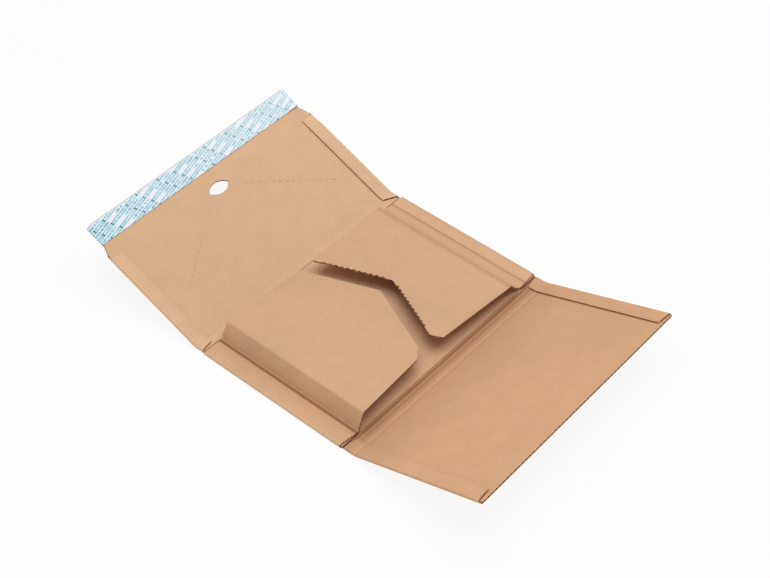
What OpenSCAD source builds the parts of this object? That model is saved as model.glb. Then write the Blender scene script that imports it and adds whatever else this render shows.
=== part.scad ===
// Wrap-around mailer of corrugated board, lying open.
// The blank is one sheet: a base whose long edges fold in, rise as two leaning walls and end in
// two inner flaps, with a closing flap at one end and a cover panel at the other.
// Origin at the middle of the base's underside, +X towards the cover panel, +Z up.

/* [Board] */
// Thickness of the corrugated board
board_t = 2.6; // [2:0.1:4]
// Clearance in the fold between the base and each outer panel
hinge_gap = 0.15; // [0.1:0.05:0.4]
// Radius of the crease tool that leaves the score lines
score_r = 0.9; // [0.6:0.1:1.5]
// Depth of the score lines
score_depth = 0.4; // [0.2:0.05:0.6]

/* [Base] */
// Length of the base between its two end folds
base_len = 198; // [170:1:240]
// Width of the base over its folded edges
base_w = 326; // [290:1:380]
// Width of the folded strip, from the base's edge to the foot of the wall
strip_w = 25; // [21:0.5:30]
// How far the strip stays back from the fold of the closing flap
strip_back_closing = 1.8; // [1.8:0.1:4]
// How far the strip stays back from the fold of the cover, beside the wall
strip_back_cover = 0.6; // [0.4:0.1:3]
// How much further it stays back at the outer edge, so its end is slanted
strip_slant = 2.8; // [0:0.1:6]
// Distance from the base's edge to the second score line of the strip
strip_score = 17; // [12:0.5:20]

/* [Cradle] */
// Height of each wall, measured along its slope
wall_len = 23; // [18:0.5:30]
// Slope of the near wall
near_slope = 68; // [50:1:80]
// Slope of the far wall
far_slope = 40; // [32:1:75]
// Inset of the walls' upper corners at the closing flap's end
wall_inset_closing = 4.2; // [2:0.1:8]
// Inset of the walls' upper corners at the cover's end
wall_inset_cover = 1.2; // [0.8:0.1:6]

/* [Inner flaps] */
// Clearance round the rounded fold between a wall and its flap
fold_gap = 0.4; // [0.4:0.05:0.6]
// Length of the near flap, from its fold to the tip of the chevron
near_reach = 145; // [120:1:160]
// Downward tilt of the near flap
near_droop = 1.5; // [0:0.1:3]
// Upward tilt of the far flap
far_rise = 2; // [0:0.1:4]
// Width of the chevron slot between the two flaps
slot_w = 21; // [12:0.5:30]
// Tip of the chevron, from the middle of the base
tip_x = -4.5; // [-12:0.5:12]
// Slope of the chevron on the closing flap's side
chevron_closing = 22.5; // [15:0.5:28]
// Slope of the chevron on the cover's side
chevron_cover = 24; // [15:0.5:28]
// Taper of the flaps' edges at the closing flap's end
taper_closing = 1.5; // [0:0.1:4]
// Taper of the flaps' edges at the cover's end
taper_cover = 4; // [0:0.1:6]
// Cut at the flaps' free corners beside the cover
corner_cut = 10; // [5:0.5:14]
// Radius at the tip of the near flap
tip_r = 4; // [2:0.5:8]
// Radius in the notch of the far flap
notch_r = 8; // [4:0.5:12]
// Radius at the other free corners
corner_r = 1.5; // [1:0.25:3]

/* [Closing flap] */
// Width of the flat spine strip beside the base
closing_spine = 14.2; // [13:0.2:18]
// Length of the panel, from its bend to its end
closing_len = 181.5; // [175:0.5:200]
// Angle at which the panel stands up from flat
closing_tilt = 22.6; // [10:0.2:30]
// Width of the glued hems
closing_hem = 18; // [14:0.5:24]
// How far the hems stay back from the panel's end
closing_hem_back = 47.5; // [46:0.5:70]
// How far the hems reach back over the bend at the inner edge
hem_root_in = 3; // [2:0.1:6]
// How far the hems reach back over the bend at the outer edge
hem_root_out = 11.4; // [8:0.1:11.6]
// Length of the taper from the hems' end to the seal strip
taper_len = 17; // [10:0.5:22]
// Depth of the taper on each side
taper_in = 7; // [4:0.5:12]
// Radius of the two end corners
end_r = 8; // [4:0.5:12]
// Length of the almond-shaped finger hole
hole_len = 30; // [24:0.5:40]
// Width of the finger hole
hole_w = 15; // [12:0.5:18]
// Distance from the panel's end to the middle of the hole
hole_back = 53.1; // [48:0.1:70]
// Distance from the middle of the hole to the inner ends of the two tear lines
tear_back = 11.9; // [10:0.1:20]
// Distance from the bend to their outer ends
tear_far = 52; // [40:0.5:70]
// Half of the spread of the tear lines beside the hole
tear_half_near = 26; // [22:0.5:32]
// Half of their spread at the outer ends
tear_half_far = 122; // [100:1:130]
// Length of one cut of the tear line
tear_cut = 5; // [3:0.25:7]
// Width of the cuts
tear_w = 0.7; // [0.4:0.1:1]
// Number of cuts along each tear line
tear_count = 14; // [8:1:16]

/* [Cover panel] */
// Width of the flat spine strip beside the base
cover_spine = 15.8; // [14:0.2:20]
// Length of the panel, from its bend to its end
cover_len = 170.2; // [150:0.2:185]
// Angle at which the panel stands up from flat
cover_tilt = 20.4; // [10:0.2:30]
// Width of the glued hems
cover_hem = 19; // [14:0.5:24]
// How far the hems stay back from the panel's end
cover_hem_back = 5; // [2:0.5:10]
// How far the hems stay back from the fold beside the base
cover_hem_root = 4.2; // [3:0.1:7]
// Distance from the fold beside the base to the middle score line
cover_score = 7.6; // [5:0.2:10]

/* [Seal] */
// Thickness of the adhesive band
adhesive_t = 0.3; // [0.2:0.05:0.6]
// Width of the adhesive band
adhesive_w = 20; // [12:0.5:24]
// Thickness of the release liner
liner_t = 0.25; // [0.2:0.05:0.5]
// Width of the release liner
liner_w = 28; // [24:0.5:30]
// How far the liner stays back from the panel's end
liner_back = 1.5; // [0.5:0.25:3]
// How far the liner stays in from the panel's sides
liner_in = 0.8; // [0:0.1:3]
// Length of the liner's loose tail at the far end
tail_len = 24; // [15:1:40]
// Angle at which the tail lifts
tail_lift = 5; // [0:0.5:12]

/* [Hidden] */
$fn = 64;
kraft = [0.84, 0.67, 0.52];
kraft_wall = [0.76, 0.58, 0.43];
glue_clear = [0.93, 0.92, 0.86];
liner_white = [0.86, 0.92, 0.94];
// A cutter runs this far past the solid that it cuts
over = 5;
half_w = base_w / 2;
half_len = base_len / 2;
// Middle of a wall's rounded upper edge, measured in from the base's edge and up from its underside
function wall_top(slope) = [
    strip_w + wall_len * cos(slope) + board_t / 2 * sin(slope),
    2 * board_t + wall_len * sin(slope) - board_t / 2 * cos(slope)
];
near_axis_y = -half_w + wall_top(near_slope).x;
far_axis_y = half_w - wall_top(far_slope).x;
wall_x0 = -half_len + wall_inset_closing;
wall_x1 = half_len - wall_inset_cover;
// Distance from the far flap's fold to the bottom of its notch
far_reach = far_axis_y - near_axis_y - near_reach - slot_w;
closing_hem_end = closing_len - closing_hem_back;
hole_at = closing_len - hole_back;
tear_near = hole_at - tear_back;
seal_half_w = half_w - taper_in;
seal_mid = closing_len - liner_back - liner_w / 2;
bead_r = board_t / 2;
// Radius of a hem's rounded edge, which meets the two faces of the doubled board at a slight angle
hem_r = board_t + 0.1;
// How far that circle passes the sheet's edge, so a narrow flat stays between the two roundings
hem_pass = 0.04;
hem_y = half_w + hem_pass - hem_r;

function unit(v) = v / norm(v);

// Points of the arc that rounds corner b of the path a-b-c
function arc_at(a, b, c, r, n) =
    let (
        u = unit(a - b),
        v = unit(c - b),
        half = acos(u * v) / 2,
        m = b + unit(u + v) * r / sin(half),
        s = b + u * r / tan(half) - m,
        e = b + v * r / tan(half) - m,
        a0 = atan2(s.y, s.x),
        turn = ((atan2(e.y, e.x) - a0 + 540) % 360) - 180
    )
    [for (i = [0:n]) m + r * [cos(a0 + turn * i / n), sin(a0 + turn * i / n)]];

// An outline with each corner rounded to its own radius, where 0 leaves it sharp
function rounded(pts, radii, n = 6) =
    let (k = len(pts))
    [for (i = [0:k - 1]) each radii[i] == 0
        ? [pts[i]]
        : arc_at(pts[(i + k - 1) % k], pts[i], pts[(i + 1) % k], radii[i], n)];

// Frame of an outer panel's spine: origin on the fold beside the base, +X outwards, 0 at the inner face
module spine_at(side) {
    translate([side * half_len, 0, board_t])
        mirror([side < 0 ? 1 : 0, 0, 0])
            children();
}

// Frame of an outer panel: origin on its bend, +X outwards along it, 0 at the inner face
module panel_at(side, spine, tilt) {
    spine_at(side)
        translate([spine, 0, 0])
            rotate([0, -tilt, 0])
                children();
}

module both_sides() {
    children();
    mirror([0, 1, 0])
        children();
}

// Profile of a flat fold, where the sheet turns back on itself
module half_disc() {
    intersection() {
        circle(r = board_t);
        translate([-over, -over])
            square([over, 2 * over]);
    }
}

// Side view of a sheet that runs along the spine from s0 and up the tilted panel to d1, between the
// heights n0 and n1 over the inner face
function bent(spine, tilt, s0, d1, n0, n1) =
    let (m = tan(tilt / 2), c = cos(tilt), s = sin(tilt))
    [
        [s0, n0],
        [spine - n0 * m, n0],
        [spine + d1 * c - n0 * s, d1 * s + n0 * c],
        [spine + d1 * c - n1 * s, d1 * s + n1 * c],
        [spine - n1 * m, n1],
        [s0, n1]
    ];

module bent_sheet(profile, w) {
    rotate([90, 0, 0])
        linear_extrude(w, center = true)
            polygon(profile);
}

// What lies outside the rounded edge of a hem, along X from x0 to x1
module hem_edge(x0, x1) {
    translate([x0, 0, 0])
        rotate([90, 0, 90])
            linear_extrude(x1 - x0)
                difference() {
                    translate([hem_y, -2 * over])
                        square([2 * over, 4 * over]);
                    translate([hem_y, 0])
                        circle(r = hem_r);
                }
}

// The board of an outer panel and its two hems, bent up from the spine. The sheet is slit beside the
// base, so the edge stays back there and the hems end in a slant from root_out to root_in.
module outer_panel(side, spine, tilt, len, hem_w, hem_end, root_out, root_in) {
    slant = (root_in - root_out) / hem_w;
    lead = slant * over;
    bend_clear = board_t * tan(tilt / 2) + hinge_gap;
    difference() {
        spine_at(side)
            difference() {
                union() {
                    bent_sheet(bent(spine, tilt, hinge_gap, len, -board_t, 0), base_w);
                    both_sides()
                        translate([0, half_w - hem_w / 2, 0])
                            bent_sheet(bent(spine, tilt, hinge_gap, hem_end, 0, board_t), hem_w);
                }
                both_sides() {
                    linear_extrude(2 * over)
                        polygon([[-over, half_w + over], [root_out - lead, half_w + over],
                            [root_in + lead, half_w - hem_w - over], [-over, half_w - hem_w - over]]);
                    translate([0, 0, -2 * over])
                        linear_extrude(4 * over)
                            polygon([[-over, half_w + over], [root_out - lead, half_w + over],
                                [root_out + slant * board_t, half_w - board_t], [-over, half_w - board_t]]);
                    hem_edge(0, spine - bend_clear);
                }
            }
        panel_at(side, spine, tilt)
            both_sides()
                hem_edge(bend_clear, hem_end);
    }
}

// A crease pressed into the inner face, across the panel between its hems
module cross_score(x, hem_w) {
    translate([x, 0, score_r - score_depth])
        rotate([90, 0, 0])
            cylinder(r = score_r, h = base_w - 2 * hem_w, center = true);
}

// Fold profile of one long edge: edge fold, strip, foot, leaning wall and rounded upper edge
module edge_profile(slope) {
    top = wall_top(slope);
    translate([board_t, board_t])
        half_disc();
    translate([board_t, board_t])
        square([strip_w - board_t, board_t]);
    translate([strip_w, 2 * board_t]) {
        difference() {
            circle(r = board_t);
            translate([-over, 0])
                square([over, over]);
            rotate(slope)
                translate([-over, 0])
                    square([2 * over, over]);
        }
        rotate(slope)
            translate([0, -board_t])
                square([wall_len, board_t]);
    }
    translate(top)
        circle(r = bead_r);
}

// One folded edge of the base, from the edge inwards along +Y, with its ends cut in plan
module folded_edge(slope) {
    top_y = wall_top(slope).x;
    end_y = top_y + board_t;
    x0 = -half_len + strip_back_closing;
    x1 = half_len - strip_back_cover;
    lead = strip_slant / strip_w * over;
    difference() {
        intersection() {
            translate([-half_len, 0, 0])
                rotate([90, 0, 90])
                    linear_extrude(base_len)
                        edge_profile(slope);
            linear_extrude(4 * (strip_w + wall_len))
                polygon([[x0, -over], [x1 - strip_slant - lead, -over], [x1, strip_w], [wall_x1, top_y],
                    [wall_x1, end_y], [wall_x0, end_y], [wall_x0, top_y], [x0, strip_w]]);
        }
        translate([0, strip_score, 2 * board_t + score_r - score_depth])
            rotate([0, 90, 0])
                cylinder(r = score_r, h = base_len + over, center = true);
    }
}

// Outline of an inner flap, from its fold along +Y. The near flap ends in the chevron's tip (dir = 1),
// the far flap in its notch (dir = -1).
function flap_outline(reach, dir, mid_r) =
    let (
        ta = tan(taper_closing),
        tb = tan(taper_cover),
        ca = dir * tan(chevron_closing),
        cb = dir * tan(chevron_cover),
        ya = (reach - (tip_x - wall_x0) * ca) / (1 - ta * ca),
        yb = (reach - (wall_x1 - tip_x) * cb) / (1 - tb * cb),
        xa = wall_x0 + ya * ta,
        xb = wall_x1 - yb * tb,
        cut_side = [xb + corner_cut * sin(taper_cover), yb - corner_cut * cos(taper_cover)],
        cut_end = [xb - corner_cut, yb + corner_cut * cb]
    )
    rounded(
        [[wall_x0, 0], [wall_x1, 0], cut_side, cut_end, [tip_x, reach], [xa, ya]],
        [0, 0, corner_r, corner_r, mid_r, corner_r]
    );

// A flap in its own frame: origin in the middle of the fold, board centred on 0
module flap_board(reach, dir, mid_r) {
    difference() {
        translate([0, 0, -bead_r])
            linear_extrude(board_t)
                polygon(flap_outline(reach, dir, mid_r));
        rotate([0, 90, 0])
            cylinder(r = bead_r + fold_gap, h = base_len + over, center = true);
    }
}

module base_panel() {
    color(kraft) {
        translate([-half_len, -half_w + board_t, 0])
            cube([base_len, base_w - 2 * board_t, board_t]);
        translate([0, -half_w, 0])
            folded_edge(near_slope);
        translate([0, half_w, 0])
            mirror([0, 1, 0])
                folded_edge(far_slope);
    }
}

module near_inner_flap() {
    color(kraft)
        translate([0, near_axis_y, wall_top(near_slope).y])
            rotate([-near_droop, 0, 0])
                flap_board(near_reach, 1, tip_r);
}

module far_inner_flap() {
    color(kraft)
        translate([0, far_axis_y, wall_top(far_slope).y])
            mirror([0, 1, 0])
                rotate([far_rise, 0, 0])
                    flap_board(far_reach, -1, notch_r);
}

// What the taper and the rounded corner take off one side of the closing flap
module end_corner() {
    translate([0, 0, -over])
        linear_extrude(2 * over)
            polygon(rounded(
                [[closing_hem_end, half_w], [closing_hem_end + taper_len, seal_half_w],
                    [closing_len, seal_half_w], [closing_len, 0], [closing_len + over, 0],
                    [closing_len + over, half_w + over], [closing_hem_end, half_w + over]],
                [0, 0, end_r, 0, 0, 0, 0]
            ));
}

// Almond outline: the overlap of two equal circles
module finger_cut() {
    r = (hole_len * hole_len + hole_w * hole_w) / (4 * hole_w);
    intersection() {
        translate([hole_at - r + hole_w / 2, 0, -over])
            cylinder(r = r, h = 2 * over, $fn = 128);
        translate([hole_at + r - hole_w / 2, 0, -over])
            cylinder(r = r, h = 2 * over, $fn = 128);
    }
}

// A row of short cuts from beside the hole towards the corner by the bend
module tear_line() {
    run = [tear_far - tear_near, tear_half_far - tear_half_near];
    step = run / tear_count;
    for (i = [0:tear_count - 1])
        translate([tear_near + step.x * (i + 0.5), tear_half_near + step.y * (i + 0.5), 0])
            rotate([0, 0, atan2(run.y, run.x)])
                cube([tear_cut, tear_w, 2 * score_depth], center = true);
}

module closing_flap() {
    color(kraft)
        difference() {
            outer_panel(-1, closing_spine, closing_tilt, closing_len, closing_hem, closing_hem_end,
                closing_spine - hem_root_out, closing_spine - hem_root_in);
            panel_at(-1, closing_spine, closing_tilt) {
                finger_cut();
                both_sides() {
                    end_corner();
                    tear_line();
                }
            }
        }
}

module cover_panel() {
    color(kraft)
        difference() {
            outer_panel(1, cover_spine, cover_tilt, cover_len, cover_hem, cover_len - cover_hem_back,
                cover_hem_root, cover_hem_root);
            spine_at(1)
                cross_score(cover_score, cover_hem);
        }
}

module adhesive_strip() {
    color(glue_clear)
        panel_at(-1, closing_spine, closing_tilt)
            translate([seal_mid - adhesive_w / 2, -seal_half_w + end_r, 0])
                cube([adhesive_w, 2 * (seal_half_w - end_r) - tail_len, adhesive_t]);
}

module release_liner() {
    half = seal_half_w - liner_in;
    root = half - tail_len;
    color(liner_white)
        panel_at(-1, closing_spine, closing_tilt)
            translate([seal_mid - liner_w / 2, 0, adhesive_t]) {
                linear_extrude(liner_t)
                    polygon(rounded(
                        [[0, -half], [liner_w, -half], [liner_w, root], [0, root]],
                        [0, end_r, 0, 0]
                    ));
                translate([0, root, 0])
                    rotate([tail_lift, 0, 0])
                        linear_extrude(liner_t)
                            polygon(rounded(
                                [[0, 0], [liner_w, 0], [liner_w, tail_len], [0, tail_len]],
                                [0, 0, end_r, 0]
                            ));
            }
}

base_panel();
near_inner_flap();
far_inner_flap();
closing_flap();
cover_panel();
adhesive_strip();
release_liner();
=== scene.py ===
"""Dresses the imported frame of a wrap-around mailer of corrugated board, lying open.

The boards are made up as the real sheet is: two liners with a fluted medium between them, carried along
folded cross-sections. Sizes are in millimetres and angles in degrees. The meshes are in metres.
"""

import logging
import math
from dataclasses import dataclass
from enum import Enum
from functools import partial, reduce
from typing import Callable, Sequence

import bpy
import numpy as np
from mathutils import Matrix


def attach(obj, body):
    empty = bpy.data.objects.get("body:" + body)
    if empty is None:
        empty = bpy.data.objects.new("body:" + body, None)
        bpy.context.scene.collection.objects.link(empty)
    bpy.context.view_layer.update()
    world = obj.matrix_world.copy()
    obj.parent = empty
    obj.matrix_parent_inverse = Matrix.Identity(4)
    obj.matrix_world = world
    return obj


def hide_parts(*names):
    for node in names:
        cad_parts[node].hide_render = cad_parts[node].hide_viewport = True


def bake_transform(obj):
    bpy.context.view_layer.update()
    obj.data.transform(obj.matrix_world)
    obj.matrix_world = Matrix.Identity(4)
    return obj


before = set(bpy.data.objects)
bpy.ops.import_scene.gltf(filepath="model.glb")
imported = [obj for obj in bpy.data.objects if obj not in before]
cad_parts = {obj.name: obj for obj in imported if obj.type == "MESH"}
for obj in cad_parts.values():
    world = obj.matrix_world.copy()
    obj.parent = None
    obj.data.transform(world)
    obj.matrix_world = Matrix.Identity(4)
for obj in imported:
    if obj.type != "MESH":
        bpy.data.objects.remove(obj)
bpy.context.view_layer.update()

LOG = logging.getLogger("mailer")

# Metres in a millimetre, and units of the UV map in one.
MM = 0.001
UV_UNIT = 0.01
# Longest step between rows of a grid, samples on a circular leg, and the turn past which an edge is sharp.
ROW_STEP = 8.0
ARC_SAMPLES = 49
SHARP_ANGLE = 38.0
# Columns beside a cut end, the length of a row that has room for them, and the least step between knots.
EDGE_COLUMNS = np.array([0.0, 0.25, 0.7, 1.4])
EDGE_ROOM = 8.0
KNOT_GAP = 0.05
# Steps along the flutes on a panel and on a flap, and how far from a fold's middle height a layer starts.
PANEL_STEPS = 8
FLAP_STEPS = 4
LAYER_GAP = 0.1
# Distance of a hem's finer rows from its free edge.
HEM_ROWS = np.array([0.25, 0.6, 1.0, 1.5, 2.2, 3.2, 4.4])

Array = np.ndarray
Socket = bpy.types.NodeSocket
Materials = list[bpy.types.Material]
Objects = list[bpy.types.Object]
Colour = tuple[int, int, int]
Vector = tuple[float, float, float]
Range = tuple[float, float]
Feed = Socket | float | Vector
Tint = Socket | Colour
Place = Callable[[Array, Array, Array], Array]
Limit = Callable[[Array], Array]
Relief = Callable[[Array, Array], Array]


class Side(Enum):
    """End of the base that an outer panel hangs on, as the sign of its X."""

    CLOSING = -1
    COVER = 1


class Half(Enum):
    """Long side that a stretch of board lies on, as the sign of its Y."""

    NEAR = -1
    FAR = 1


class Ending(Enum):
    """How an inner flap ends at the slot: a tip that stands out or a notch."""

    TIP = 1
    NOTCH = -1


class Way(Enum):
    """Direction that a band of tone is measured in on the flat blank."""

    ALONG = 0
    ACROSS = 1


class Layer(Enum):
    """Material slots of a board piece."""

    INNER = 0
    OUTER = 1
    RAW = 2
    FLUTE = 3
    HEM = 4


@dataclass(frozen=True)
class BoardStock:
    """Make-up of the corrugated board.

    Attributes:
        thick: its thickness.
        slack: gap that keeps two boards apart, taken off each face.
        liner: thickness of a liner.
        medium: thickness of the fluted medium.
        pitch: distance from flute to flute.
        sunk: depth that the medium sinks into the liners.
        wave_rows: rows of the medium's grid on each flute.
        row_gap: least distance between these rows.
        cut_depth: depth that the knife presses a liner at a cut end.
        cut_width: width of that pressing.
        cut_swell: how much thicker the medium is there, as a share of the depth.
        press_most: greatest depth that a liner is pressed.
    """

    thick: float = 2.6
    slack: float = 0.02
    liner: float = 0.3
    medium: float = 0.3
    pitch: float = 6.0
    sunk: float = 0.01
    wave_rows: int = 10
    row_gap: float = 0.02
    cut_depth: float = 0.24
    cut_width: float = 0.8
    cut_swell: float = 1.6
    press_most: float = 1.5

    @property
    def half(self) -> float:
        """Half of the board's thickness, less the slack."""
        return self.thick / 2 - self.slack

    @property
    def rise(self) -> float:
        """Height of the medium's wave over the middle of the board."""
        return self.half - self.liner - self.medium / 2 + self.sunk


@dataclass(frozen=True)
class BlankSizes:
    """Main sizes of the folded blank, shared by its pieces.

    Attributes:
        half_len: half of the base's length.
        half_w: half of the outer panels' width.
        strip_w: width of the strips that lie on the base.
        wall_len: length of the walls, up their slope.
        near_slope: slope of the near wall.
        far_slope: slope of the far wall.
        wall_x0: start of the walls and inner flaps along X.
        wall_x1: their end.
        fold_half: half of the width of the creases beside the base.
        flap_fold: length of a rounded fold on each side of its axis.
    """

    half_len: float = 99.0
    half_w: float = 163.0
    strip_w: float = 25.0
    wall_len: float = 23.0
    near_slope: float = 68.0
    far_slope: float = 40.0
    wall_x0: float = -94.8
    wall_x1: float = 97.8
    fold_half: float = 1.6
    flap_fold: float = 2.6


STOCK = BoardStock()
BLANK = BlankSizes()


def unit(angle: float) -> Array:
    """Direction at an angle: its cosine and sine."""
    return np.array([math.cos(math.radians(angle)), math.sin(math.radians(angle))])


def tan(angle: float) -> float:
    """Tangent of an angle in degrees."""
    return math.tan(math.radians(angle))


def bell(away: Array, width: float) -> Array:
    """Bell curve of a distance: 1 in the middle, and 1/e at the width."""
    return np.exp(-((away / width) ** 2))


def const(value: float) -> Limit:
    """A limit that is the same everywhere."""
    return lambda place: np.full(len(place), float(value))


def level(along: Array, across: Array) -> Array:
    """Relief of a face without creases."""
    return np.zeros_like(along)


def straight(along: Array, across: Array, up: Array) -> Array:
    """Place of a point whose flutes run along X, with the cross-section in the YZ plane."""
    return np.stack([along, across, up], -1)


def wall_top(slope: float) -> Array:
    """Middle of a wall's upper edge: in from the base's edge, and up from its underside."""
    foot = np.array([BLANK.strip_w, 2 * STOCK.thick])
    return foot + BLANK.wall_len * unit(slope) + STOCK.thick / 2 * unit(slope - 90)


@dataclass(frozen=True)
class Leg:
    """One leg of a fold line: its length, and its turn to the left."""

    length: float
    turn: float = 0.0


def bow(radius: float, turn: float) -> Leg:
    """A circular leg of that radius and turn."""
    return Leg(radius * math.radians(abs(turn)), turn)


class FoldLine:
    """Mid-line of a folded board in the plane of its cross-section.

    Straight and circular legs are laid end to end from a start point and heading. Points and headings
    are found along the arc length by interpolation between fine samples of the legs.
    """

    def __init__(self, start: Array, heading: float, legs: list[Leg]) -> None:
        """Lays the legs.

        Args:
            start: first point.
            heading: first direction.
            legs: the legs in order.
        """
        arc, angle = [0.0], [heading]
        self.joins = [0.0]
        self.legs = legs
        for leg in legs:
            count = ARC_SAMPLES if leg.turn else 2
            arc.extend(arc[-1] + np.linspace(0, leg.length, count)[1:])
            angle.extend(angle[-1] + np.linspace(0, leg.turn, count)[1:])
            self.joins.append(arc[-1])
        self.arc, self.angle = np.array(arc), np.array(angle)
        middle = np.radians((self.angle[1:] + self.angle[:-1]) / 2)
        half_turn = np.radians(np.diff(self.angle)) / 2
        chord = np.diff(self.arc) * np.sinc(half_turn / math.pi)
        steps = chord[:, None] * np.stack([np.cos(middle), np.sin(middle)], -1)
        self.points = np.vstack([start, np.asarray(start) + np.cumsum(steps, 0)])

    @property
    def length(self) -> float:
        """Length of the whole line."""
        return float(self.arc[-1])

    def stations(self, turn_step: float = 10.0) -> Array:
        """Arc lengths at which a grid has its rows.

        Args:
            turn_step: largest turn between rows on a circular leg.

        Returns:
            Arc lengths in rising order.
        """
        steps = [max(abs(leg.turn) / turn_step, leg.length / ROW_STEP) for leg in self.legs]
        spans = zip(self.joins[:-1], self.joins[1:], steps)
        runs = [np.linspace(low, high, 1 + math.ceil(step)) for low, high, step in spans]
        return np.unique(np.round(np.concatenate(runs), 6))

    def at(self, arc: Array) -> tuple[Array, Array]:
        """Points and left-hand normals at arc lengths.

        Args:
            arc: arc lengths, shape (n,).

        Returns:
            Points and normals, each of shape (n, 2).
        """
        point = np.stack([np.interp(arc, self.arc, self.points[:, i]) for i in (0, 1)], -1)
        angle = np.radians(np.interp(arc, self.arc, self.angle))
        return point, np.stack([-np.sin(angle), np.cos(angle)], -1)


def layered(line: FoldLine, height: float, lower: Limit, upper: Limit) -> Limit:
    """A limit on a board that is folded back on itself at the sheet's long side.

    Args:
        line: mid-line of the fold.
        height: height that parts its two layers.
        lower: limit on the layer below, by the distance in from the panels' edge.
        upper: limit on the layer above.

    Returns:
        The limit, by the arc length.
    """
    def limit(arc: Array) -> Array:
        """The limit of the layer that each row lies on.

        Args:
            arc: arc lengths of the rows.

        Returns:
            Distances along the flutes.
        """
        point = line.at(arc)[0]
        inset = BLANK.half_w - point[:, 0]
        return np.where(point[:, 1] < height, lower(inset), upper(inset))

    return limit


def grid_quads(rows: int, columns: int) -> Array:
    """Corner numbers of the quads of a grid of rows by columns, row by row."""
    number = np.arange(rows * columns).reshape(rows, columns)
    return np.stack([number[:-1, :-1], number[1:, :-1], number[1:, 1:], number[:-1, 1:]], -1).reshape(-1, 4)


class PieceMesh:
    """Collects closed slabs and makes one mesh object of them."""

    def __init__(self, name: str) -> None:
        """Starts an empty piece.

        Args:
            name: name of its object.
        """
        self.name = name
        self.points: list[Array] = []
        self.flats: list[Array] = []
        self.quads: list[Array] = []
        self.slots: list[Array] = []
        self.count = 0

    def slab(self, front: Array, back: Array, flat: Array, layers: tuple[Layer, Layer, Layer]) -> None:
        """Adds the closed solid between two grids of points.

        The two grids are its faces. Four rims join their borders. The signed volume, the sum of each
        corner triangle's triple product, tells whether the quads have to be turned round.

        Args:
            front: points of one face, shape (rows, columns, 3).
            back: points of the other face, the same shape.
            flat: blank coordinates of both, shape (rows, columns, 2).
            layers: material slots of the front, the back and the rims.
        """
        rows, columns = front.shape[:2]
        face = grid_quads(rows, columns)
        size = rows * columns
        number = np.arange(size).reshape(rows, columns)
        border = np.concatenate([number[:-1, 0], number[-1, :-1], number[:0:-1, -1], number[0, :0:-1]])
        after = np.roll(border, -1)
        rim = np.stack([border, border + size, after + size, after], -1)
        quads = np.concatenate([face, face[:, ::-1] + size, rim[:, ::-1]])
        points = np.concatenate([front.reshape(-1, 3), back.reshape(-1, 3)])
        a, b, c, d = (points[quads[:, i]] - points.mean(0) for i in range(4))
        volume = sum(np.einsum("ij,ij->i", a, np.cross(*pair)).sum() for pair in ((b, c), (c, d)))
        if volume < 0:
            quads = quads[:, ::-1]
        self.points.append(points)
        self.flats.append(np.tile(flat.reshape(-1, 2), (2, 1)))
        self.quads.append(quads + self.count)
        self.slots.append(np.repeat([layer.value for layer in layers], [len(face), len(face), len(rim)]))
        self.count += 2 * size

    def make(self, materials: Materials) -> bpy.types.Object:
        """Puts the slabs into a mesh, with the blank coordinates as its UV map.

        Args:
            materials: materials in the order of the slots.

        Returns:
            The new object, at the origin.
        """
        quads = np.concatenate(self.quads).astype(np.int32)
        mesh = bpy.data.meshes.new(self.name)
        mesh.vertices.add(self.count)
        mesh.vertices.foreach_set("co", (np.concatenate(self.points) * MM).astype(np.float32).ravel())
        mesh.loops.add(quads.size)
        mesh.loops.foreach_set("vertex_index", quads.ravel())
        mesh.polygons.add(len(quads))
        mesh.polygons.foreach_set("loop_start", np.arange(0, quads.size, 4, dtype=np.int32))
        mesh.polygons.foreach_set("material_index", np.concatenate(self.slots).astype(np.int32))
        mesh.update(calc_edges=True)
        flat = (np.concatenate(self.flats) * UV_UNIT).astype(np.float32)
        mesh.uv_layers.new(name="blank").data.foreach_set("uv", flat[quads.ravel()].ravel())
        for material in materials:
            mesh.materials.append(material)
        mesh.shade_smooth()
        mesh.set_sharp_from_angle(angle=math.radians(SHARP_ANGLE))
        mesh.validate()
        piece = bpy.data.objects.new(self.name, mesh)
        bpy.context.scene.collection.objects.link(piece)
        return piece


Meshes = tuple[PieceMesh, PieceMesh]


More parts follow.
